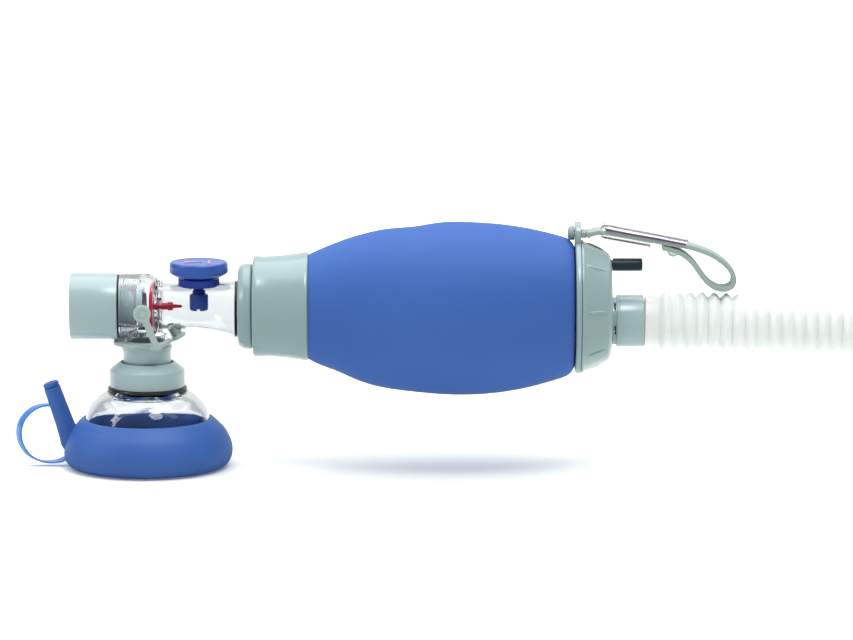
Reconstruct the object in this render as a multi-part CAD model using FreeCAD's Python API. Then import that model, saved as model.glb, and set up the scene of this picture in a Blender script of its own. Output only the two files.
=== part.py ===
"""Bag valve mask for a small child: face mask, patient valve, squeeze bag, inlet housing and reservoir tube.

Millimetres, +Z up. The origin is the centre of the mask's sealing rim, on the surface it stands on.
The bag lies along +X from the patient valve, on an axis AXIS_Z above the rim. Writes parts/NODE.step.
"""

import FreeCAD, Part
import math
import os

V = FreeCAD.Vector
X_DIR, Y_DIR, Z_DIR = V(1, 0, 0), V(0, 1, 0), V(0, 0, 1)

# Driving dimensions
AXIS_Z = 75.0            # height of the bag's axis above the mask's rim
FIT = 0.08               # radial clearance of a turning fit
GAP = 0.3                # clearance between bodies that move past each other
SKIN = 0.1               # clearance between parts of one body

# Standard medical cones
CONE_22_R = 11.2         # outside of a 22 mm male cone
BORE_15_R = 7.7          # inside of a 15 mm female cone
CONE_30_R = 15.2         # outside of a 30 mm male cone
OXYGEN_R = 3.0           # 6 mm oxygen nipple

# Patient valve, along X
PORT_X0, PORT_X1 = -35.4, -13.2      # expiratory connector
HOUSING_X0, HOUSING_X1 = -12.4, 5.2  # clear valve housing
HOUSING_R = 15.5
HOUSING_WALL = 1.8
SHUTTER_SEAT_X, SHUTTER_SEAT_R = -1.8, 9.8   # end of the inner tube that the shutter closes
SEAT_X1 = 7.6                        # inlet seat flange, between housing and neck
NECK_X1 = 41.2
NECK_WALL = 1.6
FLANGE_X0, FLANGE_X1 = 42.6, 49.0
SPIGOT_X1 = 61.0
SPIGOT_R = 16.0

# Collar and bag
COLLAR_X0, COLLAR_X1 = 49.5, 75.2
BAG_X0, BAG_X1 = 62.4, 199.4
BAG_WALL = 2.5
BAG_OUTLINE = [(75.2, 24.1), (88.0, 30.1), (105.0, 35.9), (125.0, 39.3), (147.0, 40.3),
               (170.0, 38.5), (187.6, 34.6), (195.8, 31.6)]
WALL_CENTRE_X = 143.0                # the squeezed side walls are ovals
WALL_HALF_X, WALL_HALF_Z = 44.0, 21.0
SQUEEZE_TRAVEL = 20.0

# Inlet housing
RIM_X0, RIM_X1, RIM_X2 = 199.2, 201.6, 203.0
RIM_R = 31.3
CONE_X1 = 214.2
CONE_R0, CONE_R1 = 30.2, 25.3
END_X = 216.4
RIB_COUNT = 8
EAR_TOP_Z = 114.8
EAR_WIDTH = 15.0
INLET_Z = 68.2                       # axis of the reservoir connector
CONNECTOR_X0, CONNECTOR_X1 = 218.4, 231.0
CONNECTOR_R = 12.2
CONNECTOR_BORE = 10.4
OXYGEN_Z = 94.6
OXYGEN_X1 = 230.4

# Reservoir tube: corrugated 22 mm hose, plain here, from its cuff to its open end
TUBE_R, TUBE_BORE_R = 13.9, 11.0
TUBE_ROUTE = [(231.5, 68.2), (330.0, 65.9), (384.0, 56.6), (436.0, 37.5), (487.0, 12.7)]

# Strap
STRAP_T, STRAP_W = 2.2, 11.5
STRAP_PIVOT_X, STRAP_PIVOT_Z = 205.2, 109.2
KNUCKLE_R = 1.5          # round of the strap's bend

# Mask, about Z
MASK_R = 39.0
RING_Z0, RING_Z1, RING_Z2 = 37.4, 45.4, 49.0
RING_R = 17.5
DOME_WALL = 1.8
PATIENT_Z0 = 34.6
STEM_R = 3.9
STEM_FOOT, STEM_TOP = (-36.0, 12.0), (-44.6, 37.0)
PLUG_TRAVEL = 9.0

# Relief valve, about Z at RELIEF_X
RELIEF_X = 24.3
KNOB_R = 13.7
KNOB_Z0, KNOB_Z1 = 88.7, 96.1
KNOB_LOBES = 12
BASE_R = 9.7
BASE_Z0, BASE_Z1 = 84.6, 88.3
CUP_R, CUP_Z0, CUP_Z1 = 4.35, 73.2, 80.8
RELIEF_STEM_R = 3.0
SPRING_R, SPRING_WIRE_R, SPRING_TURNS = 3.6, 0.35, 3

# Medication port and its cap
LUER_R = 3.2
LUER_ROOT, LUER_MOUTH = (11.4, 67.0), (14.1, 61.9)
PLATE_Z0, PLATE_Z1 = 57.1, 59.1
PLATE_X, PLATE_R = -2.0, 13.7
STUB_Z0, STUB_R = 52.5, 9.6          # the housing's stub, on which the patient connector turns


def outline(steps):
    """A closed face in the XZ plane from a start point and steps: a point is a line to it,
    ("arc", mid, end) an arc, and ("curve", points) a smooth curve through the points."""
    edges = []
    first = here = steps[0]
    for step in list(steps[1:]) + [first]:
        if step[0] == "arc":
            mid, end = step[1], step[2]
            edges.append(Part.Arc(flat(here), flat(mid), flat(end)).toShape())
        elif step[0] == "curve":
            end = step[1][-1]
            spline = Part.BSplineCurve()
            spline.interpolate([flat(p) for p in [here] + list(step[1])])
            edges.append(spline.toShape())
        else:
            end = step
            if math.dist(here, end) > 1e-6:
                edges.append(Part.makeLine(flat(here), flat(end)))
        here = end
    return Part.Face(Part.Wire(edges))


def flat(point):
    """A point of the XZ plane."""
    return V(point[0], 0, point[1])


def turned_x(steps, z=AXIS_Z):
    """A solid of revolution about the line along X at height z; steps give (x, radius)."""
    return outline(steps).revolve(V(0, 0, 0), X_DIR, 360).translated(V(0, 0, z))


def turned_z(steps, x=0.0):
    """A solid of revolution about the line along Z at x; steps give (radius, z)."""
    return outline(steps).revolve(V(0, 0, 0), Z_DIR, 360).translated(V(x, 0, 0))


def rod(radius, start, end):
    """A cylinder between two points."""
    axis = V(*end) - V(*start)
    return Part.makeCylinder(radius, axis.Length, V(*start), axis)


def tube_x(radius, bore, x0, x1, z=AXIS_Z):
    """A plain tube along X."""
    return turned_x([(x0, bore), (x0, radius), (x1, radius), (x1, bore)], z)


def slab(x0, x1, width, z0, z1):
    """A box centred on Y."""
    return Part.makeBox(x1 - x0, width, z1 - z0, V(x0, -width / 2, z0))


# ---- Patient valve ----

def expiratory_connector():
    """The 30 mm male cone, screwed onto the housing's thread, with its inner seat ring."""
    round_r = 0.8
    x0, x1, r = PORT_X0, PORT_X1, CONE_30_R
    body = turned_x([
        (x0 + round_r, r - 2.2), (x0, r - 1.2), ("arc", (x0 + 0.23, r - 0.23), (x0 + round_r, r)),
        (x1 - 0.6, r), ("arc", (x1 - 0.18, r - 0.18), (x1, r - 0.6)),
        (x1, 12.9), (x1 - 6.0, 12.9), (x1 - 6.0, SHUTTER_SEAT_R), (SHUTTER_SEAT_X, SHUTTER_SEAT_R),
        (SHUTTER_SEAT_X, SHUTTER_SEAT_R - 1.4), (x1 - 8.0, SHUTTER_SEAT_R - 1.4), (x1 - 8.0, 12.6),
    ])
    return body


def expiratory_grille():
    """A three-spoke guard inside the expiratory connector."""
    x0, x1 = PORT_X0 + 9.0, PORT_X0 + 11.0
    ring = tube_x(12.7, 11.2, x0, x1)
    hub = tube_x(3.0, 1.2, x0, x1)
    grille = ring.fuse(hub)
    spoke = Part.makeBox(x1 - x0, 1.6, 9.2, V(x0, -0.8, AXIS_Z + 2.4))
    for turn in range(3):
        arm = spoke.copy()
        arm.rotate(V(0, 0, AXIS_Z), X_DIR, 120 * turn + 90)
        grille = grille.fuse(arm)
    return grille.removeSplitter()


def housing_o_ring():
    """The black seal between the expiratory connector and the housing."""
    x0, x1 = PORT_X1 + SKIN / 2, HOUSING_X0 - SKIN / 2
    mid, r = (x0 + x1) / 2, HOUSING_R - 0.4
    return turned_x([(x0, r - 1.8), (x0, r - 0.3), ("arc", (mid, r), (x1, r - 0.3)), (x1, r - 1.8)])


def valve_housing():
    """The clear housing: screw ridges on its left half, a domed shoulder, and a hole for the patient port."""
    ridges, pitch, depth = 6, 1.35, 0.55
    steps = [(HOUSING_X0, HOUSING_R - HOUSING_WALL - 0.5), (HOUSING_X0, HOUSING_R - depth)]
    for turn in range(ridges):
        x = HOUSING_X0 + 0.2 + turn * pitch
        steps += [(x, HOUSING_R - depth), (x + 0.4 * pitch, HOUSING_R), (x + 0.6 * pitch, HOUSING_R),
                  (x + 0.95 * pitch, HOUSING_R - depth)]
    shoulder = HOUSING_X0 + 0.2 + ridges * pitch + 0.3
    inner_r = HOUSING_R - HOUSING_WALL
    steps += [(shoulder, HOUSING_R - 0.1),
              ("curve", [(HOUSING_X1 - 3.4, HOUSING_R - 0.6), (HOUSING_X1 - 0.5, HOUSING_R - 2.1)]),
              (HOUSING_X1, HOUSING_R - 2.8), (HOUSING_X1, 9.4), (HOUSING_X1 - 1.5, 9.4),
              (HOUSING_X1 - 1.5, inner_r - 1.6), (HOUSING_X1 - 3.6, inner_r - 0.2), (shoulder, inner_r - 0.2)]
    shell = turned_x(steps)
    bore = STUB_R - 1.6
    stub = turned_z([(bore, STUB_Z0), (STUB_R, STUB_Z0), (STUB_R, AXIS_Z - 13.0), (bore, AXIS_Z - 13.0)])
    stub = stub.cut(rod(inner_r - 0.3, (-20, 0, AXIS_Z), (20, 0, AXIS_Z)))
    return shell.cut(rod(bore, (0, 0, AXIS_Z - 20), (0, 0, AXIS_Z - 6))).fuse(stub).removeSplitter()


def inlet_seat():
    """The clear seat between housing and neck: a perforated disc that guides the shutter's pin."""
    flange = turned_x([(HOUSING_X1 + SKIN, 8.4), (HOUSING_X1 + SKIN, 12.2), (HOUSING_X1 + 1.0, 12.6),
                       (SEAT_X1 - SKIN, 12.0), (SEAT_X1 - SKIN, 8.4)])
    web = tube_x(2.9, 1.7, HOUSING_X1 + 0.4, SEAT_X1 - 0.4)
    spoke = Part.makeBox(SEAT_X1 - HOUSING_X1 - 0.8, 1.3, 6.3, V(HOUSING_X1 + 0.4, -0.65, AXIS_Z + 2.4))
    seat = flange.fuse(web)
    for turn in range(6):
        arm = spoke.copy()
        arm.rotate(V(0, 0, AXIS_Z), X_DIR, 60 * turn)
        seat = seat.fuse(arm)
    return seat.removeSplitter()


def neck_sections(inset=0.0):
    """Circles along the neck: its bore stays level on top and flares below towards the bag."""
    stations = [(SEAT_X1, 10.8, 0.1), (25.0, 11.1, 0.0), (34.0, 11.9, -0.5), (NECK_X1, 13.4, -1.4)]
    wires = []
    for x, r, dz in stations:
        ring = Part.makeCircle(r - inset, V(x, 0, AXIS_Z + dz), X_DIR)
        wires.append(Part.Wire([ring]))
    return wires


def valve_neck():
    """The clear neck, with a hole for the relief valve on top and the medication port below."""
    outer = Part.makeLoft(neck_sections(), True)
    inner = Part.makeLoft(neck_sections(NECK_WALL), True)
    mouth, root = flat(LUER_MOUTH), flat(LUER_ROOT)
    along = (root - mouth).normalize()
    port = Part.makeCylinder(LUER_R, (root - mouth).Length, mouth, along)
    solid = outer.fuse(port).cut(inner)
    solid = solid.cut(rod(6.0, (RELIEF_X, 0, AXIS_Z), (RELIEF_X, 0, BASE_Z0 + 4)))
    return solid.cut(Part.makeCylinder(2.1, 12.0, mouth - along, along))


def neck_o_ring():
    """The black seal between the neck and its flange."""
    x0, x1 = NECK_X1 + SKIN / 2, FLANGE_X0 - SKIN / 2
    return tube_x(13.2, 11.0, x0, x1, AXIS_Z - 1.2)


def swivel_flange():
    """The grey flange on the neck, with the spigot that turns in the collar and its snap lip."""
    chamfer = 2.4
    return turned_x([
        (FLANGE_X0, 10.8), (FLANGE_X0, 17.4), ("arc", (FLANGE_X0 + 0.25, 18.3), (FLANGE_X0 + 0.9, 18.9)),
        (FLANGE_X0 + chamfer, 19.8), (FLANGE_X1 - 0.5, 20.0),
        ("arc", (FLANGE_X1 - 0.15, 19.8), (FLANGE_X1, 19.4)),
        (FLANGE_X1, SPIGOT_R), (SPIGOT_X1 - 2.2, SPIGOT_R), (SPIGOT_X1 - 1.6, SPIGOT_R + 0.9),
        (SPIGOT_X1, SPIGOT_R + 0.3), (SPIGOT_X1, SPIGOT_R - 2.0), (FLANGE_X1 - 1.6, SPIGOT_R - 2.0),
        (FLANGE_X1 - 1.6, 10.8),
    ])


def patient_connector():
    """The grey swivel port, 22 mm outside and 15 mm inside, turning on the housing's stub."""
    shoulder, socket = PLATE_Z0 - 0.15, STUB_R + FIT
    return turned_z([
        (BORE_15_R, PATIENT_Z0), (CONE_22_R - 0.9, PATIENT_Z0), (CONE_22_R - 0.25, PATIENT_Z0 + 0.8),
        (CONE_22_R, 46.0), (CONE_22_R, 54.2), (CONE_22_R + 0.5, 54.8), (CONE_22_R + 0.5, shoulder),
        (CONE_22_R - 0.6, shoulder), (CONE_22_R - 0.6, PLATE_Z1), (socket, PLATE_Z1), (socket, STUB_Z0 - GAP),
        (BORE_15_R, STUB_Z0 - GAP),
    ])


def shutter_valve():
    """The red silicone shutter: a thin dished disc with a barbed pin towards the bag."""
    back = HOUSING_X1 - 1.5 - GAP
    return turned_x([
        (back - 1.4, 0), (back - 1.4, 3.0), ("curve", [(back - 2.2, 7.5), (back - 1.0, 11.0)]),
        (back - 0.2, 11.2), (back, 10.8), ("curve", [(back - 0.7, 7.0), (back, 3.2)]),
        (back + 0.6, 1.7 - FIT), (SEAT_X1 + 2.4, 1.7 - FIT), (SEAT_X1 + 2.6, 2.1), (SEAT_X1 + 4.6, 1.8),
        (SEAT_X1 + 4.8, 0.9), (SEAT_X1 + 8.6, 0.7), (SEAT_X1 + 9.0, 0),
    ])


# ---- Relief valve ----

def relief_base():
    """The dark blue threaded base, saddled on the neck."""
    guide, pocket = RELIEF_STEM_R + GAP, SPRING_R + 1.4
    base = turned_z([
        (guide, BASE_Z0), (BASE_R - 0.3, BASE_Z0), (BASE_R, BASE_Z0 + 0.3), (BASE_R, BASE_Z1 - 0.2),
        (BASE_R - 0.2, BASE_Z1), (7.0, BASE_Z1), (7.0, BASE_Z1 + 3.6), (pocket, BASE_Z1 + 3.6),
        (pocket, BASE_Z1 - 0.4), (guide, BASE_Z1 - 0.4),
    ], RELIEF_X)
    return base.cut(Part.makeLoft(neck_sections(-SKIN), True))


def relief_knob():
    """The blue lock knob: a disc with a scalloped skirt that turns on the base."""
    z0, z1 = KNOB_Z0, KNOB_Z1
    disc = turned_z([
        (0, z1 - 2.6), (7.0 + FIT, z1 - 2.6), (7.0 + FIT, z0), (KNOB_R - 3.0, z0), (KNOB_R - 0.3, z0 + 1.7),
        (KNOB_R, z0 + 2.4), (KNOB_R - 0.2, z1 - 1.0), ("arc", (KNOB_R - 0.5, z1 - 0.3), (KNOB_R - 1.2, z1)),
        (0, z1),
    ], RELIEF_X)
    flute_r = 2.6
    for turn in range(KNOB_LOBES):
        angle = math.radians((turn + 0.5) * 360 / KNOB_LOBES)
        reach = KNOB_R + 0.45 * flute_r
        place = V(RELIEF_X + reach * math.cos(angle), reach * math.sin(angle), z0 - 4.5)
        cutter = Part.makeCone(flute_r * 1.9, flute_r * 0.4, 9.4, place)
        disc = disc.cut(cutter)
    return disc


def relief_poppet():
    """The blue poppet: a stem through the base, held up by its collar, and a cup that hangs in the neck."""
    collar_z = BASE_Z1 - 0.4 + 0.1
    return turned_z([
        (0, CUP_Z0 + 1.2), (CUP_R - 1.2, CUP_Z0 + 1.2), (CUP_R - 1.2, CUP_Z0), (CUP_R - 0.3, CUP_Z0),
        (CUP_R, CUP_Z0 + 0.4), (CUP_R, CUP_Z1 - 0.6), (CUP_R - 0.6, CUP_Z1), (RELIEF_STEM_R, CUP_Z1),
        (RELIEF_STEM_R, collar_z), (SPRING_R + 1.0, collar_z), (SPRING_R + 1.0, collar_z + 1.2),
        (0, collar_z + 1.2),
    ], RELIEF_X)


def relief_spring():
    """The coil that presses the poppet down, between its collar and the knob."""
    z0 = BASE_Z1 + 1.3
    pitch = (KNOB_Z1 - 3.4 - z0) / SPRING_TURNS
    helix = Part.makeHelix(pitch, pitch * SPRING_TURNS, SPRING_R)
    section = Part.Wire([Part.makeCircle(SPRING_WIRE_R, V(SPRING_R, 0, 0), Y_DIR)])
    coil = Part.Wire(helix.Edges).makePipeShell([section], True, True)
    return coil.translated(V(RELIEF_X, 0, z0))


# ---- Medication port cap ----

def arm(near, far, width, thickness, lift):
    """A flat arm between two points, width across it in the XZ plane or, with lift, level in Y."""
    start, end = V(*near), V(*far)
    along = (end - start).normalize()
    across = Z_DIR.cross(along).normalize() if lift else along.cross(Y_DIR).normalize()
    corners = [start - across * width / 2, start + across * width / 2,
               end + across * width / 2, end - across * width / 2]
    face = Part.Face(Part.makePolygon(corners + corners[:1]))
    return face.extrude((Z_DIR if lift else Y_DIR) * thickness)


def port_cap_strap():
    """The grey rubber retainer: a clip round the patient port, an arm to the cap and one to a pull tab."""
    groove = CONE_22_R - 0.6 + GAP
    thick = PLATE_Z1 - PLATE_Z0
    clip = Part.makeCylinder(PLATE_R, thick, V(PLATE_X, 0, PLATE_Z0))
    clip = clip.cut(Part.makeCylinder(groove, 8, V(0, 0, PLATE_Z0 - 3)))
    clip = clip.cut(Part.makeBox(12, 13, 8, V(6.5, -6.5, PLATE_Z0 - 3)))
    pad_x, pad_z, face_y = -1.3, AXIS_Z - 1.0, -(HOUSING_R + 1.9)
    corner = Part.makeBox(4.6, 8.4, thick, V(2.2, face_y, PLATE_Z0))
    corner = corner.cut(Part.makeCylinder(groove, 8, V(0, 0, PLATE_Z0 - 3)))
    upright = arm((4.0, face_y, PLATE_Z0 + 0.3), (pad_x + 0.9, face_y, pad_z - 2.5), 2.8, 1.5, False)
    pad = rod(4.1, (pad_x, face_y, pad_z), (pad_x, face_y + 1.5, pad_z))
    reach = arm((5.6, -13.6, PLATE_Z0), (12.6, -5.2, PLATE_Z1 + 0.7), 3.0, 1.5, True)
    return clip.fuse([corner, upright, pad, reach]).removeSplitter()


def port_cap():
    """The cap on the medication port, with the end of its arm."""
    root, mouth = flat(LUER_ROOT), flat(LUER_MOUTH)
    out = (mouth - root).normalize()
    seat = mouth + out * GAP
    skirt = Part.makeCylinder(LUER_R + 0.4, 1.9, seat, out)
    plug = Part.makeCylinder(2.1 - FIT, 4.6, seat - out * 4.4, out)
    return skirt.fuse(plug).removeSplitter()


# ---- Mask ----

def mask_dome():
    """The clear dome: neck socket for the 22 mm cone, inner skirt, and a bell that runs into the cushion."""
    bore = CONE_22_R + FIT
    w = DOME_WALL
    return turned_z([
        (bore, 33.4), (bore, RING_Z1 + 0.8), (14.0, RING_Z1 + 0.8), (14.0, 35.9), (18.3, 35.7),
        ("curve", [(24.2, 31.2), (28.4, 23.4), (30.6, 15.0), (31.6, 9.0)]),
        (31.6 - w, 9.0),
        ("curve", [(30.6 - w, 15.0), (28.4 - w, 22.8), (23.4 - w, 30.0), (17.4, 33.9)]),
        (16.7, 33.4), (16.5, 31.6), (15.2, 31.6), (15.0, 33.4),
    ])


def mask_ring():
    """The grey ring pressed on the dome's neck."""
    return turned_z([
        (14.0 + SKIN, RING_Z0), (RING_R - 0.3, RING_Z0), (RING_R, RING_Z0 + 0.3), (RING_R, RING_Z1 - 0.3),
        (RING_R - 0.3, RING_Z1), (13.2, RING_Z2 - 0.3), (12.7, RING_Z2), (12.2, RING_Z2 - 0.5),
        (12.2, RING_Z1 + 1.0), (14.0 + SKIN, RING_Z1 + 1.0),
    ])


def mask_gasket():
    """The black seal under the ring."""
    return turned_z([(14.0 + SKIN, 36.1), (18.2, 36.0), (18.5, 36.6), (18.2, RING_Z0 - SKIN),
                     (14.0 + SKIN, RING_Z0 - SKIN)])


def mask_cushion():
    """The blue air cushion: a hollow-looking ring that grips the dome's rim, rounded under to the face."""
    inner = 31.6 + SKIN
    return turned_z([
        (28.9 + SKIN, 24.4), (30.3, 24.2), (31.2, 23.2),
        ("curve", [(35.6, 17.6), (38.6, 11.2), (MASK_R, 6.2), (37.8, 1.6)]),
        ("arc", (36.9, 0.45), (35.6, 0.0)), (33.6, 0.0), ("arc", (31.6, 0.8), (30.2, 2.6)),
        ("curve", [(29.0, 5.2), (28.6, 8.8)]), (inner, 8.8 + SKIN / 2),
        ("curve", [(30.7 + SKIN, 15.0), (28.9 + SKIN, 22.2)]),
    ])


def stem_point(along):
    """A point on the inflation stem's axis, from 0 at its foot to 1 at its top."""
    return V(STEM_FOOT[0] + along * (STEM_TOP[0] - STEM_FOOT[0]), 0,
             STEM_FOOT[1] + along * (STEM_TOP[1] - STEM_FOOT[1]))


def stem_axis():
    """The stem's direction, away from the mask."""
    return (stem_point(1) - stem_point(0)).normalize()


def inflation_stem(cushion):
    """The blue inflation tube on the cushion's side, open at the top for its plug."""
    length = (stem_point(1) - stem_point(0)).Length
    tube = Part.makeCone(STEM_R + 0.5, STEM_R, length, stem_point(0), stem_axis())
    tube = tube.cut(Part.makeCylinder(2.0, 14, stem_point(1) - stem_axis() * 13.5, stem_axis()))
    tube = tube.cut(Part.makeCylinder(STEM_R + 1, 2.0, stem_point(1) - stem_axis() * 0.05, stem_axis()))
    inside = turned_z([(0, -5), (30.5, -5), (30.5, 30), (0, 30)])
    return tube.cut(cushion).cut(inside)


def inflation_plug():
    """The plug in the stem's mouth."""
    seat = stem_point(1) + stem_axis() * 0.2
    head = Part.makeCylinder(STEM_R - 0.2, 2.2, seat, stem_axis())
    pin = Part.makeCylinder(2.0 - FIT, 8.0, seat - stem_axis() * 7.8, stem_axis())
    return head.fuse(pin).removeSplitter()


def plug_strap(cushion):
    """The tether between the cushion's foot and the stem, bowed out away from the mask."""
    top = stem_point(0.66) - V(3.9, 0, 1.0)
    outer = [top, V(-55.4, 0, 25.6), V(-60.4, 0, 15.6), V(-56.2, 0, 5.4), V(-48.0, 0, 1.6), V(-38.3, 0, 3.2)]
    spline = Part.BSplineCurve()
    spline.interpolate(outer)
    path = Part.Wire([spline.toShape()])
    start = outer[0]
    tangent = spline.tangent(spline.FirstParameter)[0]
    side = Y_DIR
    up = tangent.cross(side).normalize()
    half_w, half_t = 2.6, 0.65
    corners = [start + side * a * half_w + up * b * half_t for a, b in ((-1, -1), (1, -1), (1, 1), (-1, 1))]
    section = Part.Wire([Part.makeLine(corners[i], corners[(i + 1) % 4]) for i in range(4)])
    strap = Part.BRepOffsetAPI.MakePipeShell(path)
    strap.setFrenetMode(False)
    strap.setBiNormalMode(Y_DIR)
    strap.add(section)
    strap.build()
    strap.makeSolid()
    foot, axis = stem_point(0), stem_axis()
    return strap.shape().cut(cushion).cut(Part.makeCylinder(STEM_R + 0.55, 30, foot, axis))


# ---- Collar and bag ----

def front_collar():
    """The grey collar that clamps the bag's neck and carries the swivel."""
    inner = SPIGOT_R + GAP
    return turned_x([
        (COLLAR_X0, inner), (COLLAR_X0, 22.6), ("arc", (COLLAR_X0 + 0.3, 23.2), (COLLAR_X0 + 1.0, 23.5)),
        ("curve", [(COLLAR_X0 + 6.5, 23.3), (COLLAR_X0 + 16.0, 24.0), (COLLAR_X1 - 1.4, 25.3)]),
        ("arc", (COLLAR_X1 - 0.3, 25.3), (COLLAR_X1, 24.7)), (COLLAR_X1, 24.2 + SKIN),
        (COLLAR_X1 - 8.0, 22.4), (BAG_X0 - 0.2, 22.0), (BAG_X0 - 0.2, 18.6), (SPIGOT_X1 - 2.6, 18.6),
        (SPIGOT_X1 - 2.6, inner),
    ])


def neck_clamp():
    """The ring inside the bag's neck that presses it against the collar."""
    return turned_x([(BAG_X0, 17.4), (BAG_X0, 18.9), (BAG_X0 + 1.5, 19.2), (BAG_X0 + 7.0, 19.4),
                     (BAG_X0 + 9.0, 19.0), (BAG_X0 + 9.0, 17.4)])


def bag_outer():
    """The bag's outer form as one solid, from its neck in the collar to its back end."""
    body = BAG_OUTLINE
    return turned_x([
        (BAG_X0, 0), (BAG_X0, 21.8), (COLLAR_X1 - 8.0, 22.2), (COLLAR_X1, 24.1),
        ("curve", body[1:]), ("curve", [(BAG_X1 - 1.6, 29.9), (BAG_X1 - 0.6, 28.0)]), (BAG_X1 - 0.6, 0),
    ])


def bag_inner():
    """The bag's hollow."""
    body = [(x, r - BAG_WALL) for x, r in BAG_OUTLINE]
    return turned_x([
        (BAG_X0 - 1, 0), (BAG_X0 - 1, 19.6), (COLLAR_X1 - 8.0, 19.7), (COLLAR_X1, 21.6),
        ("curve", body[1:]), (BAG_X1 - 3.2, 25.6), (BAG_X1 + 1, 25.6), (BAG_X1 + 1, 0),
    ])


def wall_window(margin):
    """The oval through the bag's sides, along Y, that parts the squeezed walls from the rest."""
    oval = Part.Ellipse(V(0, 0, 0), WALL_HALF_X + margin, WALL_HALF_Z + margin)
    face = Part.Face(Part.Wire([oval.toShape()]))
    face.rotate(V(0, 0, 0), X_DIR, 90)
    face.translate(V(WALL_CENTRE_X, 60, AXIS_Z))
    return face.extrude(V(0, -120, 0))


def bag_nodes():
    """The bag's shell and its two side walls, which move in when the bag is squeezed."""
    shell = bag_outer().cut(bag_inner())
    walls = shell.common(wall_window(0))
    near, far = sorted(walls.Solids, key=lambda s: s.CenterOfMass.y)
    return shell.cut(wall_window(GAP)), near, far


# ---- Inlet housing ----

def bag_clamp_ring():
    """The front rim ring that holds the bag on the inlet housing, with the ear for the strap."""
    ring = turned_x([(RIM_X0, 28.2), (RIM_X0, RIM_R - 0.9), ("arc", (RIM_X0 + 0.3, RIM_R - 0.3), (RIM_X0 + 0.9, RIM_R)),
                     (RIM_X1 - 0.4, RIM_R), (RIM_X1, RIM_R - 0.4), (RIM_X1, 28.2)])
    half = EAR_WIDTH / 2
    round_z = EAR_TOP_Z - half
    ear = slab(RIM_X0 + 0.2, RIM_X1 - 0.2, EAR_WIDTH, AXIS_Z + RIM_R - 3.0, round_z)
    ear = ear.fuse(rod(half, (RIM_X0 + 0.2, 0, round_z), (RIM_X1 - 0.2, 0, round_z)))
    slot = slab(RIM_X0 - 1, RIM_X1 + 1, 8.4, STRAP_PIVOT_Z - 1.7, STRAP_PIVOT_Z + 1.7)
    return ring.fuse(ear).cut(slot).removeSplitter()


def inlet_housing():
    """The conical back shell with its moulded grip ribs, holes for air and oxygen, and a rear face."""
    wall = 2.2
    shell = turned_x([
        (RIM_X1 + SKIN, 27.6), (RIM_X1 + SKIN, RIM_R - 0.7), (RIM_X1 + 0.5, RIM_R - 0.3),
        (RIM_X2 - 0.4, RIM_R - 0.3), (RIM_X2, RIM_R - 0.8), (RIM_X2, CONE_R0),
        (CONE_X1 - 0.8, CONE_R1 + 0.4), ("arc", (CONE_X1 + 1.1, CONE_R1 - 1.4), (END_X - 0.3, CONE_R1 - 4.4)),
        ("curve", [(END_X, 12.0), (END_X + 0.1, 0.0)]), (END_X - wall, 0), (END_X - wall, CONE_R1 - 4.6),
        (CONE_X1 - 1.6, CONE_R1 - wall), (RIM_X2, CONE_R0 - wall),
    ])
    rib_len, rib_r = 8.2, 0.75
    slope = math.atan2(CONE_R0 - CONE_R1, CONE_X1 - RIM_X2)
    for turn in range(RIB_COUNT):
        start = V(RIM_X2 + 1.0, 0, AXIS_Z + CONE_R0 - 0.62)
        rib = Part.makeCone(rib_r, rib_r * 0.75, rib_len, start, V(math.cos(slope), 0, -math.sin(slope)))
        rib.rotate(V(0, 0, AXIS_Z), X_DIR, 45.0 * turn + 87.0)
        shell = shell.fuse(rib)
    shell = shell.cut(rod(9.6, (END_X - 8, 0, INLET_Z), (END_X + 4, 0, INLET_Z)))
    return shell.cut(rod(OXYGEN_R - 0.8, (END_X - 8, 0, OXYGEN_Z), (END_X + 4, 0, OXYGEN_Z)))


def intake_seat():
    """The perforated disc behind the bag that the intake valve closes."""
    x0, x1 = RIM_X1 + SKIN, RIM_X1 + 1.9
    disc = tube_x(27.5, 1.5, x0, x1)
    hole = rod(2.6, (x0 - 1, 0, AXIS_Z + 8.5), (x1 + 1, 0, AXIS_Z + 8.5))
    for turn in range(8):
        cutter = hole.copy()
        cutter.rotate(V(0, 0, AXIS_Z), X_DIR, 45.0 * turn)
        disc = disc.cut(cutter)
    return disc


def intake_valve():
    """The intake valve: a silicone disc with its pin through the seat."""
    face = RIM_X1 + SKIN - GAP
    return turned_x([
        (face - 1.4, 0), (face - 1.4, 3.0), ("curve", [(face - 1.6, 8.0), (face - 0.9, 13.6)]),
        (face - 0.2, 13.6), (face, 13.2), (face, 1.5 - FIT), (RIM_X1 + 4.0, 1.5 - FIT),
        (RIM_X1 + 4.2, 2.0), (RIM_X1 + 5.4, 1.4), (RIM_X1 + 5.6, 0),
    ])


def oxygen_nipple():
    """The black oxygen nipple."""
    foot = END_X - 2.0
    return turned_x([
        (foot, 1.7), (foot, OXYGEN_R - 0.8 - SKIN), (END_X + 0.2, OXYGEN_R - 0.8 - SKIN), (END_X + 0.2, OXYGEN_R),
        (OXYGEN_X1 - 0.5, OXYGEN_R), (OXYGEN_X1, OXYGEN_R - 0.4), (OXYGEN_X1, 1.7),
    ], OXYGEN_Z)


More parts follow.
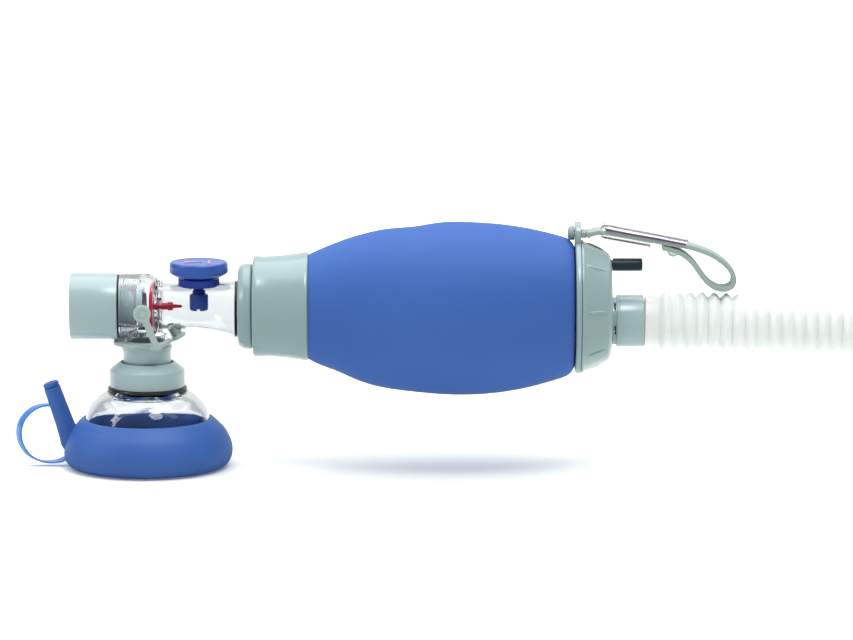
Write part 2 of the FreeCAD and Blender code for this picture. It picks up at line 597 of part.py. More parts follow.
def reservoir_connector():
    """The grey connector for the reservoir tube, on a slotted neck that lets room air in."""
    body = turned_x([
        (END_X - 1.6, 8.4), (END_X - 1.6, 9.5), (END_X + 0.2, 9.5), (END_X + 0.2, 11.0),
        (CONNECTOR_X0, 11.0), (CONNECTOR_X0, CONNECTOR_R - 0.3), (CONNECTOR_X0 + 0.4, CONNECTOR_R),
        (CONNECTOR_X1 - 0.3, CONNECTOR_R), (CONNECTOR_X1, CONNECTOR_R - 0.3), (CONNECTOR_X1, CONNECTOR_BORE),
        (CONNECTOR_X0 + 1.0, CONNECTOR_BORE), (CONNECTOR_X0 - 0.6, 8.4),
    ], INLET_Z)
    window = Part.makeBox(1.3, 5.0, 14, V(END_X + 0.5, -2.5, INLET_Z))
    for turn in range(6):
        cutter = window.copy()
        cutter.rotate(V(0, 0, INLET_Z), X_DIR, 60.0 * turn + 45.0)
        body = body.cut(cutter)
    return body


# ---- Reservoir tube ----

def route_wire(points):
    """Straight runs joined by tangent arcs, each as large as its two runs allow."""
    spots = [V(x, 0, z) for x, z in points]
    edges, radii = [], []
    here = spots[0]
    for before, corner, after in zip(spots, spots[1:], spots[2:]):
        into = (corner - before).normalize()
        out = (after - corner).normalize()
        turn = into.getAngle(out)
        cut = 0.45 * min((corner - before).Length, (after - corner).Length)
        radius = cut / math.tan(turn / 2)
        radii.append(radius)
        start, end = corner - into * cut, corner + out * cut
        inward = (out - into).normalize()
        mid = corner + inward * (radius / math.cos(turn / 2) - radius)
        edges.append(Part.makeLine(here, start))
        edges.append(Part.Arc(start, mid, end).toShape())
        here = end
    edges.append(Part.makeLine(here, spots[-1]))
    return Part.Wire(edges), radii


def reservoir_tube():
    """The hose along its route: out straight, then down until its open end rests on the surface."""
    wire, radii = route_wire(TUBE_ROUTE)
    direction = V(TUBE_ROUTE[1][0] - TUBE_ROUTE[0][0], 0, TUBE_ROUTE[1][1] - TUBE_ROUTE[0][1])
    start = V(TUBE_ROUTE[0][0], 0, TUBE_ROUTE[0][1])
    solids = []
    for radius in (TUBE_R, TUBE_BORE_R):
        ring = Part.Wire([Part.makeCircle(radius, start, direction)])
        solids.append(wire.makePipeShell([ring], True, False))
    tube = solids[0].cut(solids[1])
    expected = math.pi * (TUBE_R ** 2 - TUBE_BORE_R ** 2) * wire.Length
    print("tube radii", [round(r) for r in radii], "length", round(wire.Length, 1),
          "volume ratio", round(tube.Volume / expected, 4))
    return tube


# ---- Strap ----

def ribbon(points, width, thickness):
    """A flat band of that width along a smooth curve in the XZ plane."""
    spline = Part.BSplineCurve()
    spline.interpolate([flat(p) for p in points])
    tangent = spline.tangent(spline.FirstParameter)[0]
    up = tangent.cross(Y_DIR).normalize()
    start = flat(points[0])
    corners = [start + Y_DIR * a * width / 2 + up * b * thickness / 2
               for a, b in ((-1, -1), (1, -1), (1, 1), (-1, 1))]
    section = Part.Wire([Part.makeLine(corners[i], corners[(i + 1) % 4]) for i in range(4)])
    band = Part.BRepOffsetAPI.MakePipeShell(Part.Wire([spline.toShape()]))
    band.setBiNormalMode(Y_DIR)
    band.add(section)
    band.build()
    band.makeSolid()
    return band.shape()


def strap_anchor():
    """The strap's root: a button head in front of the ear and a neck through its slot, up to the bend."""
    z = STRAP_PIVOT_Z
    head = turned_x([(RIM_X0 - 3.0, 0), (RIM_X0 - 3.0, 2.6), ("arc", (RIM_X0 - 2.2, 3.5), (RIM_X0 - 1.2, 3.8)),
                     (RIM_X0 - 0.2, 3.8), (RIM_X0 - 0.2, 0)], z)
    neck = slab(RIM_X0 - 0.4, RIM_X1 + 0.4, 7.8, z - STRAP_T / 2, z + STRAP_T / 2)
    half_t = STRAP_T / 2 + 0.05
    stop = slab(RIM_X1 + SKIN, STRAP_PIVOT_X, STRAP_W, z - half_t, z + half_t)
    cup = rod(KNUCKLE_R + 1.5 * GAP, (STRAP_PIVOT_X, -10, z), (STRAP_PIVOT_X, 10, z))
    head = head.cut(slab(RIM_X0 - 6.0, RIM_X0, 12.0, AXIS_Z + 20, AXIS_Z + RIM_R + 0.2))
    return head.fuse(neck).fuse(stop).cut(cup).removeSplitter()


def hanging_strap():
    """The strap from the bend to its loop and fastened tail."""
    z = STRAP_PIVOT_Z
    knuckle = rod(KNUCKLE_R, (STRAP_PIVOT_X, -STRAP_W / 2, z), (STRAP_PIVOT_X, STRAP_W / 2, z))
    lead = ribbon([(STRAP_PIVOT_X, z), (211.0, 110.4), (219.0, 109.4), (238.0, 105.9), (253.4, 103.2),
                   (262.6, 99.7), (269.6, 94.6), (272.9, 88.6), (270.0, 84.5), (265.4, 83.8), (260.0, 87.2),
                   (254.6, 94.0), (250.6, 98.6)], STRAP_W, STRAP_T)
    tail = ribbon([(250.6, 98.6), (247.4, 101.2), (243.6, 102.3), (239.6, 102.9)], STRAP_W, STRAP_T - 0.4)
    return knuckle.fuse(lead).fuse(tail).removeSplitter()


def snap_stud():
    """The clear press stud under the tail."""
    z = 101.6
    stud = Part.makeSphere(2.7, V(244.0, 0, z - 0.9), V(0, 0, -1), 0, 90, 360)
    return stud.cut(hanging_strap())


def label_sleeve():
    """The clear folded sleeve on the strap that holds a label."""
    slope = math.atan2(109.7 - 102.0, 211.4 - 251.6)
    top = Part.makeBox(41.0, 13.4, 0.6, V(0, -6.7, 2.9))
    bottom = Part.makeBox(23.6, 13.4, 0.6, V(0, -6.7, -2.5))
    fold = Part.makeBox(0.6, 13.4, 6.0, V(0, -6.7, -2.5))
    sleeve = top.fuse(bottom).fuse(fold)
    slot = Part.makeBox(2.0, STRAP_W + 0.4, STRAP_T + 0.5, V(-0.7, -(STRAP_W + 0.4) / 2, -STRAP_T / 2 - 0.2))
    sleeve = sleeve.cut(slot)
    sleeve.rotate(V(0, 0, 0), Y_DIR, math.degrees(-slope) - 180)
    sleeve.translate(V(211.2, 0, 110.4))
    return sleeve


def label_card():
    """The blank label in the sleeve."""
    card = Part.makeBox(38.4, 12.4, 0.5, V(1.0, -6.2, 2.2))
    slope = math.atan2(109.7 - 102.0, 211.4 - 251.6)
    card.rotate(V(0, 0, 0), Y_DIR, math.degrees(-slope) - 180)
    card.translate(V(211.2, 0, 110.4))
    return card


def all_nodes():
    """Every node's name and shape."""
    cushion = mask_cushion()
    shell, near, far = bag_nodes()
    return {
        "expiratory_connector": expiratory_connector(),
        "expiratory_grille": expiratory_grille(),
        "housing_o_ring": housing_o_ring(),
        "valve_housing": valve_housing(),
        "inlet_seat": inlet_seat(),
        "valve_neck": valve_neck(),
        "neck_o_ring": neck_o_ring(),
        "swivel_flange": swivel_flange(),
        "patient_connector": patient_connector(),
        "shutter_valve": shutter_valve(),
        "relief_base": relief_base(),
        "relief_knob": relief_knob(),
        "relief_poppet": relief_poppet(),
        "relief_spring": relief_spring(),
        "port_cap_strap": port_cap_strap(),
        "port_cap": port_cap(),
        "mask_dome": mask_dome(),
        "mask_ring": mask_ring(),
        "mask_gasket": mask_gasket(),
        "mask_cushion": cushion,
        "inflation_stem": inflation_stem(cushion),
        "inflation_plug": inflation_plug(),
        "plug_strap": plug_strap(cushion),
        "front_collar": front_collar(),
        "neck_clamp": neck_clamp(),
        "bag_shell": shell,
        "bag_near_wall": near,
        "bag_far_wall": far,
        "bag_clamp_ring": bag_clamp_ring(),
        "inlet_housing": inlet_housing(),
        "intake_seat": intake_seat(),
        "intake_valve": intake_valve(),
        "oxygen_nipple": oxygen_nipple(),
        "reservoir_connector": reservoir_connector(),
        "reservoir_tube": reservoir_tube(),
        "strap_anchor": strap_anchor(),
        "hanging_strap": hanging_strap(),
        "snap_stud": snap_stud(),
        "label_sleeve": label_sleeve(),
        "label_card": label_card(),
    }


os.makedirs("parts", exist_ok=True)
for name, shape in all_nodes().items():
    shape.exportStep(os.path.join("parts", name + ".step"))
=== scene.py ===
"""Looks for the bag valve mask: a mask for a small child, its patient valve, squeeze bag and reservoir tube.

Metres in Blender; the sizes in this file are in millimetres and go through mm(). The origin is the centre of
the mask's sealing rim on the table, +X runs along the bag towards the reservoir tube, +Z is up.
"""

from __future__ import annotations

import logging
import math
from dataclasses import dataclass
from enum import Enum
from typing import Iterable, Sequence

import bpy
from bpy.types import Material, NodeTree, Object
from mathutils import Matrix, Vector

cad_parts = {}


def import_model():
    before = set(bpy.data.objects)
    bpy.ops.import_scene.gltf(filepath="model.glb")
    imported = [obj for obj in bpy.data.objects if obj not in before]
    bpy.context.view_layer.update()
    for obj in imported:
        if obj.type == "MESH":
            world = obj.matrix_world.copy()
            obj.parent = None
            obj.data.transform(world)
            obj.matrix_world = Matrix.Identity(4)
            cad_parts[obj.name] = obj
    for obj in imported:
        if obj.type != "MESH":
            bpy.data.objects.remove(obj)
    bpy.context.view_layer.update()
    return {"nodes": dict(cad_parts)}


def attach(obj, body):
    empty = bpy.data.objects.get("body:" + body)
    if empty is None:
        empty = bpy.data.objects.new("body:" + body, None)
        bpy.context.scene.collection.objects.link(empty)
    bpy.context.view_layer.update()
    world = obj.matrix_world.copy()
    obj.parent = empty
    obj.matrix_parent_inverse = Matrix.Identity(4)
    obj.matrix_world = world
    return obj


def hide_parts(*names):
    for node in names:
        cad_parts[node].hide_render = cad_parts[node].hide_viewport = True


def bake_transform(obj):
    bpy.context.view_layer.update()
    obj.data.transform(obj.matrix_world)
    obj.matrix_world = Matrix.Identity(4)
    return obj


LOG = logging.getLogger("bag_valve_mask")
AXIS_Z = 75.0  # height of the bag's axis above the table
FULL_TURN = math.tau
Point = tuple[float, float]


def mm(*values: float) -> Vector:
    """A point or vector in metres from values in millimetres."""
    return Vector(values) * 0.001


class Turn(Enum):
    """The axis that a turned piece goes round."""

    X = (1.0, 0.0, 0.0)
    Z = (0.0, 0.0, 1.0)


# ---- Modelling helpers ----


def deselect() -> None:
    """Leaves edit mode and selects nothing."""
    if bpy.context.object and bpy.context.object.mode != "OBJECT":
        bpy.ops.object.mode_set(mode="OBJECT")
    bpy.ops.object.select_all(action="DESELECT")


def activate(piece: Object) -> None:
    """Makes one object the only one selected, and the active one."""
    deselect()
    piece.select_set(True)
    bpy.context.view_layer.objects.active = piece


def named(piece: Object, name: str) -> Object:
    """Names an object and its mesh."""
    piece.name = name
    piece.data.name = name
    return piece


def chain(name: str, points: Sequence[Vector]) -> Object:
    """Draws a line of edges, and leaves the piece in edit mode with all of it selected.

    Args:
        name: the piece's name.
        points: the line's points, in metres.

    Returns:
        The new piece.
    """
    deselect()
    bpy.ops.mesh.primitive_plane_add(size=0.002)
    piece = named(bpy.context.object, name)
    bpy.ops.object.mode_set(mode="EDIT")
    bpy.ops.mesh.merge(type="CENTER")
    bpy.ops.transform.translate(value=points[0])
    for here, there in zip(points, points[1:]):
        bpy.ops.mesh.extrude_region_move(TRANSFORM_OT_translate={"value": there - here})
    bpy.ops.mesh.select_all(action="SELECT")
    return piece


def smooth_run(points: Sequence[Point], steps: int = 8) -> list[Point]:
    """Points on a smooth curve through the given ones.

    Args:
        points: the points it goes through.
        steps: how many spans each gap is cut into.

    Returns:
        The curve's points, the first and the last of the given ones among them.
    """
    run: list[Point] = []
    last = len(points) - 1
    for i in range(last):
        a, b, c, d = (points[max(0, min(last, i + k))] for k in (-1, 0, 1, 2))
        for step in range(steps):
            t = step / steps
            run.append(tuple(
                0.5 * (2 * q + (r - p) * t + (2 * p - 5 * q + 4 * r - s) * t * t
                       + (3 * q - p - 3 * r + s) * t**3)
                for p, q, r, s in zip(a, b, c, d)))
    run.append(tuple(points[last]))
    return run


def lathe(name: str, outline: Sequence[Point], turn: Turn, centre: Point = (0.0, AXIS_Z), steps: int = 96,
          bevel: float = 0.0, closed: bool = True, crease: float = 30.0) -> Object:
    """Turns an outline round an axis.

    Args:
        name: the piece's name.
        outline: (distance along the axis, radius) points, in millimetres.
        turn: the axis.
        centre: x and z of a point on the axis, in millimetres.
        steps: how many steps the turn takes.
        bevel: width of the rounding on its sharp edges, in millimetres.
        closed: whether the last point joins the first.
        crease: edges sharper than this many degrees stay sharp.

    Returns:
        The finished piece.
    """
    x, z = centre
    if turn is Turn.X:
        points = [mm(along, 0, z + radius) for along, radius in outline]
    else:
        points = [mm(x + radius, 0, along) for along, radius in outline]
    piece = chain(name, points + points[:1] if closed else points)
    bpy.ops.mesh.spin(steps=steps, angle=FULL_TURN, center=mm(x, 0, z), axis=turn.value)
    bpy.ops.mesh.select_all(action="SELECT")
    bpy.ops.mesh.remove_doubles(threshold=0.00001)
    bpy.ops.mesh.normals_make_consistent(inside=False)
    deselect()
    return soften(piece, bevel, crease)


def soften(piece: Object, bevel: float = 0.0, crease: float = 30.0, segments: int = 2) -> Object:
    """Rounds a piece's sharp edges, and shades the rest of it smooth.

    Args:
        piece: the piece.
        bevel: width of the rounding, in millimetres.
        crease: edges sharper than this many degrees are rounded and stay sharp.
        segments: faces across each rounding.

    Returns:
        The piece.
    """
    if bevel:
        apply(piece, "BEVEL", width=bevel * 0.001, segments=segments, limit_method="ANGLE",
              angle_limit=math.radians(crease), harden_normals=False)
    activate(piece)
    bpy.ops.object.shade_smooth_by_angle(angle=math.radians(crease))
    return piece


def apply(piece: Object, kind: str, **values: object) -> Object:
    """Adds a modifier with the given values to a piece and applies it."""
    activate(piece)
    modifier = piece.modifiers.new(kind.lower(), kind)
    for key, value in values.items():
        setattr(modifier, key, value)
    bpy.ops.object.modifier_apply(modifier=modifier.name)
    return piece


def boolean(piece: Object, tools: Iterable[Object], operation: str = "DIFFERENCE") -> Object:
    """Cuts tools out of a piece, or unites them with it, and removes the tools."""
    for tool in list(tools):
        apply(piece, "BOOLEAN", object=tool, operation=operation, solver="EXACT")
        bpy.data.objects.remove(tool)
    return piece


def settled(piece: Object) -> Object:
    """Applies a piece's place, turn and size to its mesh."""
    activate(piece)
    bpy.ops.object.transform_apply(location=True, rotation=True, scale=True)
    return piece


def block(name: str, low: Sequence[float], high: Sequence[float], bevel: float = 0.0) -> Object:
    """A block between two corners, in millimetres, with rounded edges."""
    deselect()
    middle = [(a + b) / 2 for a, b in zip(low, high)]
    size = [b - a for a, b in zip(low, high)]
    bpy.ops.mesh.primitive_cube_add(size=1.0, location=mm(*middle), scale=mm(*size))
    piece = settled(named(bpy.context.object, name))
    return soften(piece, bevel, segments=3) if bevel else piece


def drum(name: str, radius: float, low: Sequence[float], high: Sequence[float], sides: int = 48,
         tip: float | None = None) -> Object:
    """A cylinder or cone between two points, in millimetres."""
    deselect()
    start, end = Vector(low), Vector(high)
    along = end - start
    spin = along.to_track_quat("Z", "Y").to_euler()
    bpy.ops.mesh.primitive_cone_add(vertices=sides, radius1=radius * 0.001,
                                    radius2=(radius if tip is None else tip) * 0.001,
                                    depth=along.length * 0.001, location=mm(*((start + end) / 2)), rotation=spin)
    return settled(named(bpy.context.object, name))


def band(name: str, line: Sequence[Point], width: float, thickness: float, lean: float = 0.0,
         round_edge: float = 0.5) -> Object:
    """A strap that follows a line in the XZ plane.

    Args:
        name: the piece's name.
        line: (x, z) points of its middle, in millimetres.
        width: its width, mostly along Y, in millimetres.
        thickness: its thickness, in millimetres.
        lean: how far its near edge is ahead of its far edge along X, in millimetres.
        round_edge: rounding of its edges, in millimetres.

    Returns:
        The finished strap.
    """
    points = [mm(x - lean / 2, width / 2, z) for x, z in line]
    piece = chain(name, points)
    bpy.ops.mesh.extrude_region_move(TRANSFORM_OT_translate={"value": mm(lean, -width, 0)})
    bpy.ops.mesh.select_all(action="SELECT")
    bpy.ops.mesh.normals_make_consistent(inside=False)
    deselect()
    apply(piece, "SOLIDIFY", thickness=thickness * 0.001, offset=0.0, use_even_offset=True)
    return soften(piece, round_edge, crease=40.0, segments=3)


# ---- Finishes ----


def link(tree: NodeTree, source: bpy.types.NodeSocket, target: bpy.types.NodeSocket) -> None:
    """Joins two sockets."""
    tree.links.new(source, target)


def surface_group() -> NodeTree:
    """The shared surface effect: slow patches of colour, fine grain and uneven gloss.

    Returns:
        A group with inputs Colour, Patch colour, Patch size, Patch amount, Grain size, Roughness and
        Roughness spread, and outputs Colour, Roughness and Height.
    """
    name = "moulded_surface"
    if name in bpy.data.node_groups:
        return bpy.data.node_groups[name]
    tree = bpy.data.node_groups.new(name, "ShaderNodeTree")
    for label, kind in (("Colour", "NodeSocketColor"), ("Patch colour", "NodeSocketColor"),
                        ("Patch size", "NodeSocketFloat"), ("Patch amount", "NodeSocketFloat"),
                        ("Grain size", "NodeSocketFloat"), ("Roughness", "NodeSocketFloat"),
                        ("Roughness spread", "NodeSocketFloat")):
        tree.interface.new_socket(label, in_out="INPUT", socket_type=kind)
    for label, kind in (("Colour", "NodeSocketColor"), ("Roughness", "NodeSocketFloat"),
                        ("Height", "NodeSocketFloat")):
        tree.interface.new_socket(label, in_out="OUTPUT", socket_type=kind)
    make = tree.nodes.new
    into, out = make("NodeGroupInput"), make("NodeGroupOutput")
    place = make("ShaderNodeTexCoord")
    patches, grain = make("ShaderNodeTexNoise"), make("ShaderNodeTexNoise")
    patches.inputs["Detail"].default_value = 3.0
    grain.inputs["Detail"].default_value = 4.0
    for noise, label in ((patches, "Patch size"), (grain, "Grain size")):
        link(tree, place.outputs["Object"], noise.inputs["Vector"])
        link(tree, into.outputs[label], noise.inputs["Scale"])
    spread = make("ShaderNodeMapRange")
    spread.inputs["From Min"].default_value = 0.35
    spread.inputs["From Max"].default_value = 0.7
    link(tree, patches.outputs["Fac"], spread.inputs["Value"])
    amount = make("ShaderNodeMath")
    amount.operation = "MULTIPLY"
    link(tree, spread.outputs["Result"], amount.inputs[0])
    link(tree, into.outputs["Patch amount"], amount.inputs[1])
    mix = make("ShaderNodeMix")
    mix.data_type = "RGBA"
    link(tree, amount.outputs[0], mix.inputs["Factor"])
    link(tree, into.outputs["Colour"], mix.inputs["A"])
    link(tree, into.outputs["Patch colour"], mix.inputs["B"])
    gloss = make("ShaderNodeMath")
    gloss.operation = "MULTIPLY_ADD"
    link(tree, patches.outputs["Fac"], gloss.inputs[0])
    link(tree, into.outputs["Roughness spread"], gloss.inputs[1])
    link(tree, into.outputs["Roughness"], gloss.inputs[2])
    link(tree, mix.outputs["Result"], out.inputs["Colour"])
    link(tree, gloss.outputs[0], out.inputs["Roughness"])
    link(tree, grain.outputs["Fac"], out.inputs["Height"])
    return tree


@dataclass(frozen=True)
class Moulded:
    """A moulded plastic or rubber.

    Sizes of patches and grain are counts per metre; bump is in metres.
    """

    name: str
    slot: str
    colour: tuple[float, float, float]
    patch_colour: tuple[float, float, float]
    roughness: float = 0.35
    spread: float = 0.12
    patches: float = 40.0
    patch_amount: float = 0.4
    grain: float = 2500.0
    bump: float = 0.00002
    coat: float = 0.0
    sheen: float = 0.0
    subsurface: float = 0.0
    transmission: float = 0.0
    ior: float = 1.5

    def material(self) -> Material:
        """The finish's material, made once."""
        label = f"{self.name}_finish"
        if label in bpy.data.materials:
            return bpy.data.materials[label]
        material = bpy.data.materials.new(label)
        material.use_nodes = True
        tree = material.node_tree
        shader = tree.nodes["Principled BSDF"]
        effect = tree.nodes.new("ShaderNodeGroup")
        effect.node_tree = surface_group()
        for label, value in (("Colour", (*self.colour, 1.0)), ("Patch colour", (*self.patch_colour, 1.0)),
                             ("Patch size", self.patches), ("Patch amount", self.patch_amount),
                             ("Grain size", self.grain), ("Roughness", self.roughness - self.spread / 2),
                             ("Roughness spread", self.spread)):
            effect.inputs[label].default_value = value
        bump = tree.nodes.new("ShaderNodeBump")
        bump.inputs["Strength"].default_value = 1.0
        bump.inputs["Distance"].default_value = self.bump
        link(tree, effect.outputs["Height"], bump.inputs["Height"])
        link(tree, effect.outputs["Colour"], shader.inputs["Base Color"])
        link(tree, effect.outputs["Roughness"], shader.inputs["Roughness"])
        link(tree, bump.outputs["Normal"], shader.inputs["Normal"])
        shader.inputs["IOR"].default_value = self.ior
        shader.inputs["Coat Weight"].default_value = self.coat
        shader.inputs["Coat Roughness"].default_value = 0.15
        shader.inputs["Sheen Weight"].default_value = self.sheen
        shader.inputs["Sheen Roughness"].default_value = 0.4
        shader.inputs["Subsurface Weight"].default_value = self.subsurface
        shader.inputs["Subsurface Radius"].default_value = (0.004, 0.004, 0.005)
        shader.inputs["Subsurface Scale"].default_value = 1.0
        shader.inputs["Transmission Weight"].default_value = self.transmission
        return material


GREY = Moulded("grey_moulding", "grey_plastic", (0.27, 0.38, 0.383), (0.245, 0.352, 0.36), 0.3, 0.1,
               patches=25.0, grain=1800.0, bump=0.000012, coat=0.4)
PALE_GREY = Moulded("pale_grey_moulding", "grey_plastic", (0.345, 0.465, 0.475), (0.31, 0.43, 0.445), 0.3, 0.1,
                    patches=25.0, grain=1800.0, bump=0.000012, coat=0.4)
GREY_RUBBER = Moulded("grey_soft_rubber", "grey_rubber", (0.37, 0.46, 0.455), (0.34, 0.43, 0.42), 0.5, 0.12)
STRAP = Moulded("strap_rubber", "strap_rubber", (0.31, 0.395, 0.365), (0.28, 0.365, 0.34), 0.5, 0.14,
                patches=60.0, grain=3000.0, bump=0.00003)
SILICONE = Moulded("bag_silicone", "blue_silicone", (0.036, 0.112, 0.395), (0.046, 0.14, 0.44), 0.66, 0.1,
                   patches=14.0, patch_amount=0.6, grain=1200.0, bump=0.00003, ior=1.34)
VINYL = Moulded("cushion_vinyl", "blue_vinyl", (0.037, 0.115, 0.40), (0.05, 0.145, 0.46), 0.5, 0.12,
                patches=30.0, patch_amount=0.5, grain=900.0, bump=0.00002, ior=1.38)
TETHER = Moulded("tether_vinyl", "blue_vinyl", (0.06, 0.22, 0.62), (0.09, 0.28, 0.70), 0.28, 0.1,
                 patches=60.0, subsurface=0.2, coat=0.2)
KNOB_BLUE = Moulded("knob_blue", "blue_plastic", (0.03, 0.085, 0.37), (0.042, 0.11, 0.42), 0.3, 0.08,
                    patches=60.0, bump=0.00001, coat=0.2, ior=1.42)
BASE_BLUE = Moulded("base_blue", "dark_blue_plastic", (0.018, 0.045, 0.33), (0.026, 0.06, 0.38), 0.25, 0.08,
                    patches=60.0, bump=0.00001, coat=0.1, ior=1.42)
BLACK = Moulded("black_seal", "black_rubber", (0.012, 0.014, 0.018), (0.03, 0.034, 0.04), 0.3, 0.14,
                patches=120.0, bump=0.00001)
NIPPLE = Moulded("nipple_black", "black_plastic", (0.014, 0.036, 0.042), (0.024, 0.05, 0.056), 0.35, 0.14,
                 patches=90.0, bump=0.00001, ior=1.42)
RED = Moulded("red_silicone", "red_silicone", (0.50, 0.01, 0.04), (0.62, 0.03, 0.08), 0.3, 0.1,
              patches=120.0, bump=0.00001, subsurface=0.15)
MARK = Moulded("knob_mark", "blue_plastic", (0.40, 0.22, 0.42), (0.46, 0.30, 0.50), 0.3, 0.08, patches=200.0)
HOSE = Moulded("hose_plastic", "tube_plastic", (0.93, 0.975, 1.0), (0.91, 0.96, 0.99), 0.3, 0.1,
               patches=45.0, patch_amount=0.15, grain=700.0, bump=0.00001, subsurface=0.5, ior=1.36)
CLEAR = Moulded("clear_plastic", "clear_plastic", (0.85, 0.87, 0.89), (0.82, 0.85, 0.88), 0.03, 0.02,
                patches=60.0, grain=160.0, bump=0.00003, transmission=1.0, ior=1.46)
FILM = Moulded("clear_film", "clear_film", (0.93, 0.93, 0.96), (0.88, 0.88, 0.93), 0.08, 0.06,
               patches=90.0, grain=260.0, bump=0.00004, transmission=1.0, ior=1.4)
CARD = Moulded("label_card", "card", (0.72, 0.70, 0.80), (0.66, 0.62, 0.76), 0.7, 0.1, patches=300.0)
# Painted shade: a dark copy of the card's colour, laid under the label card so that it shows as shade along the card's
# edges.
CARD_PAINTED_SHADE = Moulded("label_painted_shade", "card", (0.11, 0.05, 0.14), (0.17, 0.09, 0.20), 0.7, 0.1, patches=300.0)
STEEL = Moulded("spring_wire", "spring_steel", (0.55, 0.55, 0.57), (0.5, 0.5, 0.52), 0.3, 0.1)


def dress(piece: Object, finish: Moulded, body: str, *nodes: str) -> Object:
    """Gives a piece its finish and its body; a clear piece lets the lamps shine through it.

    Args:
        piece: the piece.
        finish: what it is made of.
        body: the body it moves with; empty when it rides on no body here.
        nodes: the CAD nodes that it stands for.

    Returns:
        The piece.
    """
    piece.data.materials.clear()
    piece.data.materials.append(finish.material())
    piece.visible_shadow = finish.transmission < 1.0
    if body:
        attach(piece, body)
    if nodes:
        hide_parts(*nodes)
    LOG.info("%s: %d faces, rides on %s", piece.name, len(piece.data.polygons), body or "two bodies")
    return piece


# ---- Camera, light and table ----


